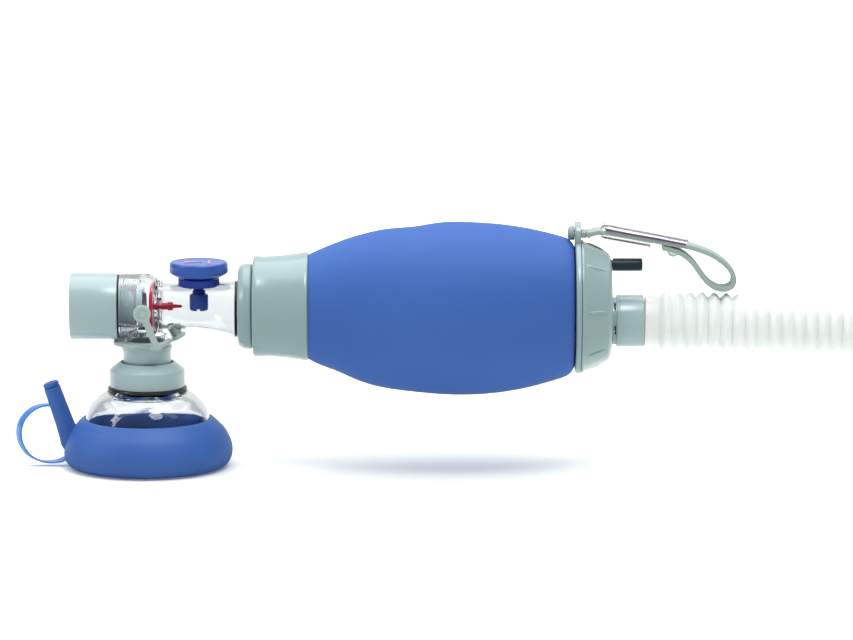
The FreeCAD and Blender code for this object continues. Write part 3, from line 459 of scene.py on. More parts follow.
@dataclass
class Studio:
    """The white table, its soft lights and the camera. Distances are in metres, angles in degrees."""

    aim: tuple[float, float, float] = (0.1301, 0.0, 0.0685)
    pitch: float = 9.3
    distance: float = 2.337
    lens: float = 212.0

    def camera(self) -> None:
        """Places the camera, level, looking along +Y and a little down."""
        data = bpy.data.cameras.new("camera")
        data.lens = self.lens
        data.sensor_width = 36.0
        camera = bpy.data.objects.new("camera", data)
        down = math.radians(self.pitch)
        camera.location = Vector(self.aim) + self.distance * Vector((0, -math.cos(down), math.sin(down)))
        camera.rotation_euler = (math.pi / 2 - down, 0, 0)
        bpy.context.scene.collection.objects.link(camera)
        bpy.context.scene.camera = camera

    def softbox(self, name: str, place: Sequence[float], aim: Sequence[float], size: Point, power: float,
                disc: bool = False) -> None:
        """One area light, aimed at a point."""
        data = bpy.data.lights.new(name, "AREA")
        data.shape = "ELLIPSE" if disc else "RECTANGLE"
        data.size, data.size_y = size
        data.energy = power
        lamp = bpy.data.objects.new(name, data)
        lamp.location = place
        lamp.rotation_euler = (Vector(aim) - Vector(place)).to_track_quat("-Z", "Y").to_euler()
        bpy.context.scene.collection.objects.link(lamp)

    def light(self) -> None:
        """A broad top light, a round umbrella, a tall window on the left, and a white backdrop in a dim room."""
        self.softbox("top_softbox", (0.13, 0.35, 1.25), (0.13, 0.35, 0.0), (2.2, 1.5), 27.0)
        self.softbox("umbrella", (0.27, -0.45, 1.1), (0.0, 0.0, 0.03), (0.42, 0.42), 5.5, disc=True)
        self.softbox("left_window", (-1.0, -0.35, 0.75), (0.0, 0.0, 0.05), (0.16, 0.6), 3.0)
        world = bpy.data.worlds.new("white_room")
        bpy.context.scene.world = world
        world.use_nodes = True
        tree = world.node_tree
        make = tree.nodes.new
        room, path = tree.nodes["Background"], make("ShaderNodeLightPath")
        place, split = make("ShaderNodeTexCoord"), make("ShaderNodeSeparateXYZ")
        link(tree, place.outputs["Generated"], split.inputs["Vector"])
        soft = self.ramp(tree, split.outputs["Y"], -0.3, 0.9, 0.14, 1.0)
        sharp = self.ramp(tree, split.outputs["Y"], 0.62, 0.86, 0.03, 0.92)
        lit = self.pick(tree, path.outputs["Diffuse Depth"], sharp, soft)
        seen = self.pick(tree, path.outputs["Is Camera Ray"], lit, 1.05)
        link(tree, seen, room.inputs["Strength"])
        room.inputs["Color"].default_value = (0.985, 0.992, 1.0, 1.0)
        bpy.context.scene.view_settings.view_transform = "Standard"

    @staticmethod
    def ramp(tree: NodeTree, value: bpy.types.NodeSocket, start: float, end: float, low: float,
             high: float) -> bpy.types.NodeSocket:
        """A value that goes from low to high while the input goes from start to end."""
        node = tree.nodes.new("ShaderNodeMapRange")
        for label, number in (("From Min", start), ("From Max", end), ("To Min", low), ("To Max", high)):
            node.inputs[label].default_value = number
        link(tree, value, node.inputs["Value"])
        return node.outputs["Result"]

    @staticmethod
    def pick(tree: NodeTree, choice: bpy.types.NodeSocket, usual: bpy.types.NodeSocket,
             chosen: bpy.types.NodeSocket | float) -> bpy.types.NodeSocket:
        """The second value where the choice is 1, and the first where it is 0."""
        node = tree.nodes.new("ShaderNodeMix")
        node.data_type = "FLOAT"
        link(tree, choice, node.inputs["Factor"])
        link(tree, usual, node.inputs["A"])
        if isinstance(chosen, float):
            node.inputs["B"].default_value = chosen
        else:
            link(tree, chosen, node.inputs["B"])
        return node.outputs["Result"]

    def table(self) -> None:
        """The white table top: it glows a little more with distance, and mirrors dimly in front of the object."""
        deselect()
        bpy.ops.mesh.primitive_plane_add(size=12.0, location=(0.1, 0.0, -0.0004))
        top = settled(named(bpy.context.object, "table_top"))
        material = bpy.data.materials.new("table_white")
        material.use_nodes = True
        tree = material.node_tree
        make = tree.nodes.new
        shader, mirrored, choose = tree.nodes["Principled BSDF"], make("ShaderNodeBsdfDiffuse"), make("ShaderNodeMixShader")
        shader.inputs["Base Color"].default_value = (0.89, 0.90, 0.87, 1.0)
        shader.inputs["Roughness"].default_value = 0.6
        shader.inputs["Specular IOR Level"].default_value = 0.2
        shader.inputs["Emission Color"].default_value = (1.0, 1.0, 0.92, 1.0)
        mirrored.inputs["Color"].default_value = (0.05, 0.06, 0.08, 1.0)
        place, reach, split = make("ShaderNodeTexCoord"), make("ShaderNodeVectorMath"), make("ShaderNodeSeparateXYZ")
        path, direct = make("ShaderNodeLightPath"), make("ShaderNodeMath")
        reach.operation, direct.operation = "LENGTH", "MAXIMUM"
        link(tree, place.outputs["Object"], reach.inputs[0])
        link(tree, place.outputs["Object"], split.inputs["Vector"])
        link(tree, self.ramp(tree, reach.outputs["Value"], 0.3, 1.2, 0.13, 1.0), shader.inputs["Emission Strength"])
        link(tree, path.outputs["Is Camera Ray"], direct.inputs[0])
        link(tree, path.outputs["Diffuse Depth"], direct.inputs[1])
        behind = self.ramp(tree, split.outputs["Y"], -0.03, 0.06, 0.0, 0.78)
        link(tree, self.pick(tree, direct.outputs[0], behind, 1.0), choose.inputs["Fac"])
        link(tree, mirrored.outputs["BSDF"], choose.inputs[1])
        link(tree, shader.outputs["BSDF"], choose.inputs[2])
        link(tree, choose.outputs["Shader"], tree.nodes["Material Output"].inputs["Surface"])
        top.data.materials.append(material)

    def build(self) -> None:
        """Sets up the whole studio."""
        self.camera()
        self.light()
        self.table()


# ---- Reservoir tube ----


@dataclass
class ReservoirTube:
    """The corrugated hose with a plain cuff at each end. Sizes in millimetres."""

    route: tuple[Point, ...] = ((231.5, 68.2), (330.0, 65.9), (384.0, 56.6), (436.0, 37.5), (487.0, 12.7))
    crest: float = 13.95
    valley: float = 11.6
    cuff: float = 11.9
    pitch: float = 5.65
    wall: float = 0.7
    first_crest: float = 9.4

    def line(self) -> tuple[Object, list[Vector]]:
        """The route as a smooth curve, and points along it."""
        data = bpy.data.curves.new("tube_route", "CURVE")
        data.dimensions = "3D"
        data.resolution_u = 24
        spline = data.splines.new("NURBS")
        spline.points.add(len(self.route) - 1)
        for point, (x, z) in zip(spline.points, self.route):
            point.co = (*mm(x, 0, z), 1.0)
        spline.order_u = 3
        spline.use_endpoint_u = True
        curve = bpy.data.objects.new("tube_route", data)
        bpy.context.scene.collection.objects.link(curve)
        bpy.context.view_layer.update()
        flat = bpy.data.meshes.new_from_object(curve)
        points = [vertex.co.copy() for vertex in flat.vertices]
        bpy.data.meshes.remove(flat)
        return curve, points

    def build(self) -> Object:
        """Turns one corrugation, repeats it between two cuffs and bends the whole along the route."""
        curve, points = self.line()
        length = sum((b - a).length for a, b in zip(points, points[1:])) * 1000
        count = int((length - 2 * self.first_crest) / self.pitch) + 1
        far = self.first_crest + (count - 1) * self.pitch
        half, depth = self.pitch / 2, self.crest - self.valley
        wave = [(k / 12 * self.pitch - half, self.valley + depth * (0.5 + 0.5 * math.cos(
            (k / 12 - 0.5) * FULL_TURN)) ** 0.6) for k in range(13)]
        outline = [(0.0, self.cuff), (self.first_crest - half - 1.2, self.cuff)]
        for turn in range(count):
            middle = self.first_crest + turn * self.pitch
            outline += [(middle + along, radius) for along, radius in (wave if turn == 0 else wave[1:])]
        outline += [(far + half + 1.0, self.cuff), (length, self.cuff)]
        piece = lathe("corrugated_tube", outline, Turn.X, (0.0, 0.0), steps=64, closed=False, crease=60.0)
        apply(piece, "CURVE", object=curve, deform_axis="POS_X")
        apply(piece, "SOLIDIFY", thickness=self.wall * 0.001, offset=-1.0)
        bpy.data.objects.remove(curve)
        activate(piece)
        bpy.ops.object.shade_smooth_by_angle(angle=math.radians(60))
        dress(piece, HOSE, "bag", "reservoir_tube")
        return piece


# ---- Patient valve ----


@dataclass
class PatientValve:
    """Everything between the expiratory port and the bag's collar. Sizes in millimetres."""

    port_x0: float = -35.4
    port_x1: float = -13.2
    port_r: float = 15.5
    housing_r: float = 15.5
    housing_x0: float = -12.4
    housing_x1: float = 5.2
    neck_x0: float = 7.6
    neck_x1: float = 41.2
    neck_wall: float = 1.6
    ridges: int = 8
    ridge_pitch: float = 1.02

    def expiratory_connector(self) -> Object:
        """The grey port with its rounded mouth and the tube inside the housing."""
        x0, x1, r = self.port_x0, self.port_x1, self.port_r
        outline = [(x0 + 0.8, r - 2.2), (x0 + 0.25, r - 1.75), (x0, r - 1.2), (x0 + 0.1, r - 0.6), (x0 + 0.35, r - 0.2),
                   (x0 + 0.9, r), (x1 - 0.7, r), (x1 - 0.25, r - 0.15), (x1, r - 0.6), (x1, 12.9), (x1 - 6, 12.9),
                   (x1 - 6, 9.8), (-2.1, 9.8), (-1.8, 9.5), (-1.8, 8.7), (-2.1, 8.4), (x1 - 8, 8.4), (x1 - 8, 12.6)]
        return dress(lathe("expiratory_port", outline, Turn.X), PALE_GREY, "valve", "expiratory_connector")

    def housing(self) -> Object:
        """The clear housing with its screw ridges and the stub that the patient connector turns on."""
        x0, x1, r = self.housing_x0, self.housing_x1, self.housing_r
        inner = r - 2.0
        outline = [(x0, inner), (x0, r - 0.6)]
        for turn in range(self.ridges):
            x = x0 + 0.5 + turn * self.ridge_pitch
            outline += [(x, r - 0.55), (x + 0.3, r - 0.05), (x + 0.55, r - 0.05), (x + 0.85, r - 0.55)]
        end = x0 + 0.5 + self.ridges * self.ridge_pitch
        outline += smooth_run([(end + 0.4, r - 0.15), (x1 - 4.4, r - 0.45), (x1 - 1.4, r - 1.4), (x1 - 0.3, r - 2.5)], 5)
        outline += [(x1, r - 3.0), (x1, 9.4), (x1 - 1.5, 9.4), (x1 - 1.5, inner - 1.4)]
        outline += smooth_run([(x1 - 2.1, inner - 0.7), (x1 - 3.6, inner - 0.1), (x1 - 5.0, inner)], 3)
        shell = lathe("valve_housing_clear", outline, Turn.X, steps=128)
        boolean(shell, [drum("port_hole", 8.0, (0, 0, 45), (0, 0, AXIS_Z - 6))])
        stub = lathe("stub", [(52.5, 8.0), (52.5, 9.6), (AXIS_Z - 13.2, 9.6), (AXIS_Z - 13.2, 8.0)], Turn.Z, (0, 0))
        boolean(shell, [stub], "UNION")
        soften(shell, crease=28.0)
        return dress(shell, CLEAR, "valve", "valve_housing")

    def seals(self) -> None:
        """The two black rings either side of the clear parts."""
        x0, x1 = self.port_x1 + 0.05, self.housing_x0 - 0.05
        left = lathe("housing_seal", [(x0, 13.2), (x0, 14.7), ((x0 + x1) / 2, 15.1), (x1, 14.7), (x1, 13.2)], Turn.X)
        dress(left, BLACK, "valve", "housing_o_ring")
        x0, x1 = self.neck_x1 + 0.05, 42.55
        ring = [(x0, 11.0), (x0, 12.6), (x0 + 0.35, 13.1), (x1 - 0.35, 13.1), (x1, 12.6), (x1, 11.0)]
        right = lathe("neck_seal", ring, Turn.X, (0, AXIS_Z - 1.2))
        dress(right, BLACK, "valve", "neck_o_ring")

    def seat(self) -> Object:
        """The clear double flange with its spokes, between housing and neck."""
        x0, x1 = self.housing_x1 + 0.1, self.neck_x0 - 0.1
        mid = (x0 + x1) / 2
        flange = lathe("inlet_seat_clear", [
            (x0, 8.4), (x0, 12.0), (x0 + 0.25, 12.3), (mid - 0.25, 12.3), (mid - 0.1, 11.5), (mid + 0.1, 11.5),
            (mid + 0.25, 12.0), (x1 - 0.2, 12.0), (x1, 11.7), (x1, 8.4)], Turn.X)
        web = lathe("web", [(x0 + 0.3, 1.75), (x0 + 0.3, 2.9), (x1 - 0.3, 2.9), (x1 - 0.3, 1.75)], Turn.X)
        spokes = []
        for turn in range(3):
            spoke = block("spoke", (x0 + 0.35, -0.65, AXIS_Z - 9), (x1 - 0.35, 0.65, AXIS_Z + 9))
            place = Matrix.Translation(mm(0, 0, AXIS_Z))
            spoke.data.transform(place @ Matrix.Rotation(turn * math.pi / 3, 4, "X") @ place.inverted())
            spokes.append(spoke)
        boolean(flange, spokes, "UNION")
        boolean(flange, [drum("pin_hole", 1.75, (0, 0, AXIS_Z), (12, 0, AXIS_Z))])
        boolean(flange, [web], "UNION")
        soften(flange, crease=28.0)
        return dress(flange, CLEAR, "valve", "inlet_seat")

    def shutter(self) -> Object:
        """The red dished disc and its barbed pin."""
        back = 3.4
        outline = [(back - 2.0, 0.0), (back - 2.0, 2.4), *smooth_run([(back - 1.7, 3.4), (back - 2.2, 7.5),
                   (back - 1.3, 10.6)], 5), (back - 0.8, 11.15), (back - 0.2, 11.2), (back, 10.8),
                   *smooth_run([(back - 0.3, 10.2), (back - 0.7, 7.0), (back, 3.4)], 5), (back + 0.6, 1.62),
                   (10.0, 1.62), (10.1, 2.1), (10.8, 2.05), (12.2, 1.8), (12.4, 0.95), (13.6, 0.85), (16.0, 0.65),
                   (16.5, 0.3), (16.6, 0.0)]
        return dress(lathe("red_shutter", outline, Turn.X, closed=False), RED, "shutter", "shutter_valve")

    def neck(self) -> Object:
        """The clear neck, level on top and flared below, with the medication port's stub."""
        stations = ((self.neck_x0, 10.8, 0.1), (12.0, 10.8, 0.1), (18.5, 10.9, 0.05), (25.0, 11.15, 0.0),
                    (31.0, 11.6, -0.3), (36.0, 12.3, -0.75), (self.neck_x1, 13.4, -1.4))
        deselect()
        x, r, lift = stations[0]
        bpy.ops.mesh.primitive_circle_add(vertices=96, radius=r * 0.001, location=mm(x, 0, AXIS_Z + lift),
                                          rotation=(0, math.pi / 2, 0))
        tube = settled(named(bpy.context.object, "valve_neck_clear"))
        bpy.ops.object.mode_set(mode="EDIT")
        bpy.ops.mesh.select_all(action="SELECT")
        for (x0, r0, z0), (x1, r1, z1) in zip(stations, stations[1:]):
            bpy.ops.mesh.extrude_region_move(TRANSFORM_OT_translate={"value": mm(x1 - x0, 0, z1 - z0)})
            grow = r1 / r0
            bpy.ops.transform.resize(value=(1, grow, grow), center_override=mm(x1, 0, AXIS_Z + z1))
        bpy.ops.mesh.select_all(action="SELECT")
        bpy.ops.mesh.normals_make_consistent(inside=False)
        deselect()
        apply(tube, "SUBSURF", levels=1, render_levels=1)
        apply(tube, "SOLIDIFY", thickness=self.neck_wall * 0.001, offset=-1.0, use_rim=True)
        port = drum("port", 3.2, (14.1, 0, 61.9), (12.2, 0, 65.5))
        boolean(tube, [port], "UNION")
        boolean(tube, [drum("port_bore", 2.1, (14.57, 0, 61.0), (11.4, 0, 67.0)),
                       drum("relief_hole", 6.0, (24.3, 0, 78), (24.3, 0, 92))])
        soften(tube, crease=30.0)
        return dress(tube, CLEAR, "valve", "valve_neck")

    def flange(self) -> Object:
        """The grey stepped flange that turns in the collar."""
        x0, x1 = 42.6, 49.0
        outline = [(x0, 10.8), (x0, 17.2), (x0 + 0.1, 17.9), (x0 + 0.4, 18.4), (x0 + 0.9, 18.8), (x0 + 2.2, 19.5),
                   (x0 + 2.7, 19.8), (x1 - 0.7, 20.0), (x1 - 0.25, 19.8), (x1, 19.4), (x1, 16.0), (58.8, 16.0),
                   (59.4, 16.9), (61.0, 16.3), (61.0, 14.0), (x1 - 1.6, 14.0), (x1 - 1.6, 10.8)]
        return dress(lathe("swivel_flange_grey", outline, Turn.X, steps=128, crease=26.0), GREY, "valve",
                     "swivel_flange")

    def build(self) -> None:
        """Builds the valve's pieces from left to right."""
        self.expiratory_connector()
        self.seals()
        self.housing()
        self.seat()
        self.shutter()
        self.neck()
        self.flange()


@dataclass
class ReliefValve:
    """The pressure-limiting valve on the neck. Sizes in millimetres."""

    x: float = 24.3
    knob_r: float = 13.7
    knob_z0: float = 89.2
    knob_z1: float = 96.1
    lobes: int = 8
    base_r: float = 9.7
    stem_r: float = 3.0
    cup_r: float = 4.35

    def knob(self) -> Object:
        """The scalloped knob."""
        r, z0, z1 = self.knob_r, self.knob_z0, self.knob_z1
        outline = [(z1 - 2.6, 0.0), (z1 - 2.6, 7.08), (z0, 7.08), (z0, r - 3.0), (z0 + 1.5, r - 0.5), (z0 + 2.2, r - 0.1),
                   (z0 + 3.0, r), (z1 - 1.3, r - 0.15), (z1 - 0.6, r - 0.4), (z1 - 0.15, r - 0.9), (z1 - 0.05, r - 1.6),
                   (z1 - 0.3, r - 3.0), (z1 - 0.4, 6.0), (z1 - 0.4, 0.0)]
        knob = lathe("relief_knob_blue", outline, Turn.Z, (self.x, 0), steps=144, closed=False, crease=40)
        flutes = []
        reach = r + 5.3
        for turn in range(self.lobes):
            angle = (turn + 0.5) * FULL_TURN / self.lobes
            x, y = self.x + reach * math.cos(angle), reach * math.sin(angle)
            flutes.append(drum("flute", 6.8, (x, y, z0 - 2.0), (x, y, z1 - 1.0), tip=4.9))
        boolean(knob, flutes)
        soften(knob, 0.25, crease=35, segments=2)
        return dress(knob, KNOB_BLUE, "knob", "relief_knob")

    def mark(self) -> Object:
        """A plain bar and wedge on the knob's top, which shows where it points."""
        z = self.knob_z1 - 0.42
        corners = [mm(self.x - 6.6, -2.6, z), mm(self.x + 1.4, 0.0, z), mm(self.x - 6.6, 2.6, z)]
        wedge = chain("knob_pointer", corners)
        bpy.ops.mesh.edge_face_add()
        bpy.ops.mesh.extrude_region_move(TRANSFORM_OT_translate={"value": mm(0, 0, 0.25)})
        bpy.ops.mesh.select_all(action="SELECT")
        bpy.ops.mesh.normals_make_consistent(inside=False)
        deselect()
        bar = block("bar", (self.x + 4.2, -5.2, z), (self.x + 5.4, 5.2, z + 0.25))
        activate(bar)
        wedge.select_set(True)
        bpy.context.view_layer.objects.active = wedge
        bpy.ops.object.join()
        soften(wedge, 0.08, crease=30)
        return dress(wedge, MARK, "knob")

    def base(self) -> Object:
        """The dark blue base, with the saddle that sits on the neck."""
        r = self.base_r
        outline = [(84.6, self.stem_r + 0.3), (84.6, r - 0.3), (84.9, r), (87.9, r), (88.3, r - 0.3), (88.3, 7.0),
                   (91.7, 7.0), (91.9, 6.8), (91.9, 5.0), (87.9, 5.0), (87.9, self.stem_r + 0.3)]
        base = lathe("relief_base_blue", outline, Turn.Z, (self.x, 0), steps=96)
        boolean(base, [drum("saddle", 11.28, (0, 0, AXIS_Z - 0.05), (60, 0, AXIS_Z - 0.05), 96)])
        soften(base, crease=30.0)
        return dress(base, BASE_BLUE, "valve", "relief_base")

    def poppet(self) -> None:
        """The dark stem and the lighter cup that hang in the neck."""
        r, s = self.cup_r, self.stem_r
        cup = lathe("relief_cup_blue", [
            (76.4, 0.0), (76.4, r - 1.2), (73.4, r - 1.0), (73.2, r - 0.7), (73.3, r - 0.3), (73.8, r), (80.1, r),
            (80.6, r - 0.25), (80.8, r - 0.8), (80.8, 0.0)], Turn.Z, (self.x, 0), steps=64, closed=False)
        boolean(cup, [block("slot", (self.x - 0.7, -6, 73.0), (self.x + 0.7, 6, 74.2))])
        soften(cup, 0.1, crease=35)
        dress(cup, KNOB_BLUE, "poppet", "relief_poppet")
        stem = lathe("relief_stem_blue", [
            (80.82, 0.0), (80.82, s + 0.2), (81.1, s), (88.0, s), (88.0, 4.6), (89.2, 4.6), (89.2, 0.0)], Turn.Z,
            (self.x, 0), steps=64, closed=False)
        dress(stem, BASE_BLUE, "poppet", "relief_poppet")

    def build(self) -> None:
        """Builds the relief valve."""
        self.knob()
        self.mark()
        self.base()
        self.poppet()


@dataclass
class PortCap:
    """The grey rubber retainer round the patient port, with its pull tab, and the cap. Sizes in millimetres."""

    z0: float = 57.1
    z1: float = 59.1
    clip_x: float = -2.0
    clip_r: float = 13.7
    groove: float = 10.9

    def limb(self, name: str, line: Sequence[Sequence[float]], width: Sequence[float], thickness: float) -> Object:
        """A flat limb along a line, lying across the way that width points."""
        across = Vector(width).normalized() * Vector(width).length * 0.001
        limb = chain(name, [mm(*point) - across / 2 for point in line])
        bpy.ops.mesh.extrude_region_move(TRANSFORM_OT_translate={"value": across})
        bpy.ops.mesh.select_all(action="SELECT")
        bpy.ops.mesh.normals_make_consistent(inside=False)
        deselect()
        apply(limb, "SOLIDIFY", thickness=thickness * 0.001, offset=0.0, use_even_offset=True)
        return soften(limb, 0.35, crease=40, segments=3)

    def retainer(self) -> Object:
        """The clip, the upright arm with its round tab and the arm that reaches to the cap."""
        z0, z1, r = self.z0, self.z1, self.clip_r
        clip = lathe("port_cap_retainer", [(z0, 6.0), (z0, r - 0.7), (z0 + 0.15, r - 0.25), (z0 + 0.5, r),
                     (z1 - 0.5, r), (z1 - 0.15, r - 0.25), (z1, r - 0.7), (z1, 6.0)], Turn.Z, (self.clip_x, 0))
        boolean(clip, [drum("groove", self.groove, (0, 0, z0 - 3), (0, 0, z1 + 3), 96),
                       block("gap", (6.5, -6.5, z0 - 3), (18, 6.5, z1 + 3))])
        face = -16.55
        upright = self.limb("upright", [(6.2, face, 57.4), (4.8, face, 59.6), (0.0, face, 71.6)], (2.9, 0, 0.9), 1.3)
        tab = lathe("tab", [(-0.75, 0), (-0.75, 3.5), (-0.6, 3.85), (-0.3, 4.1), (0.3, 4.1), (0.6, 3.85), (0.75, 3.5),
                    (0.75, 2.6), (0.45, 2.4), (0.45, 1.6), (0.75, 1.4), (0.75, 0)], Turn.Z, (0, 0), steps=48,
                    closed=False)
        tab.data.transform(Matrix.Translation(mm(-1.3, face, 74.0)) @ Matrix.Rotation(math.pi / 2, 4, "X"))
        foot = block("foot", (2.4, face - 0.6, z0), (7.6, -9.0, z0 + 1.6), 0.4)
        reach = self.limb("reach", [(5.6, -13.6, 58.0), (8.4, -10.6, 58.9), (11.6, -5.6, 60.2)], (2.3, -1.9, 0), 1.5)
        boolean(clip, [foot, upright, tab, reach], "UNION")
        boolean(clip, [drum("groove", self.groove, (0, 0, z0 - 3), (0, 0, z1 + 3), 96)])
        soften(clip, crease=40)
        return dress(clip, GREY_RUBBER, "valve", "port_cap_strap")

    def cap(self) -> Object:
        """The cap, with a small lip to pull it by."""
        cap = lathe("medication_cap", [(-0.3, 0), (-0.3, 3.2), (-0.6, 3.6), (-1.8, 3.6), (-2.2, 3.2), (-2.2, 0)],
                    Turn.Z, (0, 0), steps=48, closed=False)
        plug = lathe("plug", [(-0.5, 0), (-0.5, 2.0), (3.9, 2.0), (4.2, 1.7), (4.2, 0)], Turn.Z, (0, 0), 48, closed=False)
        boolean(cap, [plug], "UNION")
        lean = math.atan2(2.7, 5.1)
        cap.data.transform(Matrix.Translation(mm(14.1, 0, 61.9)) @ Matrix.Rotation(-lean, 4, "Y"))
        soften(cap, 0.12, crease=40)
        return dress(cap, GREY_RUBBER, "cap", "port_cap")

    def build(self) -> None:
        """Builds the retainer and the cap."""
        self.retainer()
        self.cap()


# ---- Mask ----


@dataclass
class FaceMask:
    """The mask with its port, ring, clear dome, air cushion, stem and tether. Sizes in millimetres."""

    port_r: float = 11.2
    port_bore: float = 7.7
    ring_r: float = 17.5
    rim_r: float = 39.0
    stem_r: float = 3.9
    stem_foot: Point = (-36.0, 12.0)
    stem_top: Point = (-44.6, 37.0)

    def port(self) -> Object:
        """The grey patient connector."""
        r, b = self.port_r, self.port_bore
        outline = [(34.6, b), (34.6, r - 0.9), (34.9, r - 0.5), (35.4, r - 0.25), (46.0, r), (54.3, r),
                   (54.6, r + 0.15), (54.8, r + 0.5), (56.6, r + 0.5), (56.95, r + 0.2), (56.95, r - 0.6),
                   (59.1, r - 0.6), (59.1, 9.68), (52.2, 9.68), (52.2, b)]
        return dress(lathe("patient_port", outline, Turn.Z, (0, 0)), PALE_GREY, "mask", "patient_connector")

    def ring(self) -> Object:
        """The grey ring on the dome's neck."""
        r = self.ring_r
        outline = [(37.4, 14.1), (37.4, r - 0.5), (37.55, r - 0.15), (38.0, r), (45.0, r), (45.4, r - 0.15),
                   (45.8, r - 0.6), (48.6, 13.5), (48.95, 12.9), (49.0, 12.5), (48.7, 12.25), (48.0, 12.2),
                   (47.0, 12.2), (47.0, 14.1)]
        return dress(lathe("mask_ring_grey", outline, Turn.Z, (0, 0), crease=24), PALE_GREY, "mask", "mask_ring")

    def gasket(self) -> Object:
        """The black seal under the ring."""
        outline = [(36.1, 14.1), (36.0, 17.9), (36.2, 18.4), (36.6, 18.55), (37.1, 18.3), (37.3, 17.9), (37.3, 14.1)]
        return dress(lathe("mask_seal", outline, Turn.Z, (0, 0)), BLACK, "mask", "mask_gasket")

    def dome(self) -> Object:
        """The clear bell with its socket and inner skirt."""
        outer = smooth_run([(35.7, 18.3), (31.4, 24.1), (27.6, 27.0), (23.4, 28.8), (15.0, 30.6), (9.0, 31.6)], 6)
        inner = smooth_run([(9.0, 29.8), (15.0, 28.8), (22.8, 26.9), (27.0, 24.7), (30.4, 21.6), (33.2, 17.6)], 6)
        outline = [(33.4, 11.3), (46.8, 11.3), (46.8, 14.0), (35.9, 14.0), *outer, *inner, (32.6, 16.7), (31.6, 16.5),
                   (31.6, 15.3), (33.0, 15.0)]
        return dress(lathe("mask_dome_clear", outline, Turn.Z, (0, 0), steps=128, crease=35), CLEAR, "mask",
                     "mask_dome")

    def cushion(self) -> Object:
        """The blue air cushion: full at the rim, drawn in where it grips the dome."""
        outer = smooth_run([(22.4, 29.2), (22.6, 29.8), (22.3, 30.5), (21.5, 31.5), (19.6, 33.4), (16.4, 36.2),
                            (11.6, 38.5), (7.6, 39.3), (4.2, 39.0), (1.6, 37.6), (0.3, 35.9), (0.0, 34.6)], 5)
        inner = smooth_run([(0.0, 33.4), (0.5, 32.2), (1.9, 30.8), (4.4, 29.4), (7.4, 28.7), (8.7, 28.9)], 4)
        back = smooth_run([(8.9, 31.75), (9.8, 31.3), (15.0, 30.45), (20.5, 29.2)], 4)
        outline = outer + inner + back
        cushion = lathe("mask_cushion_blue", outline, Turn.Z, (0, 0), steps=160, crease=50)
        self.swell(cushion)
        dress(cushion, VINYL, "mask", "mask_cushion")
        return cushion

    def swell(self, cushion: Object) -> None:
        """Gives the blown cushion its slow unevenness, none of it on the face that it rests on."""
        for vertex in cushion.data.vertices:
            x, y, z = vertex.co
            around = math.atan2(y, x)
            high = min(1.0, max(0.0, (z - 0.003) / 0.006)) * min(1.0, max(0.0, (0.0225 - z) / 0.005))
            if math.hypot(x, y) < 0.0325:
                continue
            wave = 0.00025 * math.sin(3 * around + 0.8) + 0.00015 * math.sin(7 * around + 120 * z)
            grow = 1 + high * wave / 0.038
            vertex.co.x, vertex.co.y = x * grow, y * grow

    def stem(self) -> Object:
        """The inflation stem, which swells into the cushion at its foot."""
        foot, top = Vector((self.stem_foot[0], 0, self.stem_foot[1])), Vector((self.stem_top[0], 0, self.stem_top[1]))
        along = (top - foot).length
        r = self.stem_r
        outline = [(-6.0, 0.0), (-6.0, 1.4), (-5.0, 3.2), (-3.0, 4.7), (-0.5, r + 1.25), (3.2, r + 0.75), (8.0, r + 0.45), (along - 6, r + 0.1),
                   (along - 0.6, r), (along - 0.15, r - 0.15), (along, r - 0.5), (along, 2.02), (along - 12.0, 2.02),
                   (along - 12.4, 0.0)]
        stem = lathe("inflation_stem_blue", outline, Turn.Z, (0, 0), steps=64, closed=False)
        turn = (top - foot).to_track_quat("Z", "Y").to_matrix().to_4x4()
        stem.data.transform(Matrix.Translation(foot * 0.001) @ turn)
        soften(stem, crease=40)
        return dress(stem, VINYL, "mask", "inflation_stem")

    def plug(self) -> Object:
        """The plug in the stem's mouth, with the little dimple in its head."""
        foot, top = Vector((self.stem_foot[0], 0, self.stem_foot[1])), Vector((self.stem_top[0], 0, self.stem_top[1]))
        r = self.stem_r - 0.15
        outline = [(-7.6, 0.0), (-7.6, 1.6), (-7.3, 1.9), (0.2, 1.9), (0.2, r - 0.2), (0.4, r), (1.5, r), (2.1, r - 0.3),
                   (2.4, r - 0.9), (2.45, 2.0), (2.2, 1.5), (1.7, 1.1), (1.6, 0.0)]
        plug = lathe("inflation_plug_blue", outline, Turn.Z, (0, 0), steps=48, closed=False, crease=45)
        turn = (top - foot).to_track_quat("Z", "Y").to_matrix().to_4x4()
        plug.data.transform(Matrix.Translation(top * 0.001) @ turn)
        return dress(plug, VINYL, "plug", "inflation_plug")

    def tether(self) -> Object:
        """The thin strap that bows out from the stem and back to the cushion's foot."""
        line = smooth_run([(-43.4, 28.0), (-46.4, 28.4), (-50.8, 27.8), (-55.2, 25.3), (-58.8, 20.9), (-60.2, 15.4),
                           (-59.2, 9.8), (-56.0, 5.0), (-51.4, 2.2), (-46.6, 1.4), (-41.6, 1.9), (-38.0, 3.4)], 4)
        tether = band("plug_tether_blue", line, 4.8, 0.9, lean=2.6, round_edge=0.3)
        return dress(tether, TETHER, "mask", "plug_strap")

    def build(self) -> None:
        """Builds the mask from the top down."""
        self.port()
        self.ring()
        self.gasket()
        self.dome()
        self.cushion()
        self.stem()
        self.plug()
        self.tether()


# ---- Bag ----


@dataclass(frozen=True)
class Dent:
    """A soft hollow or swelling in the bag: its centre, reach and depth, in millimetres."""

    centre: tuple[float, float, float]
    reach: tuple[float, float, float]
    depth: float


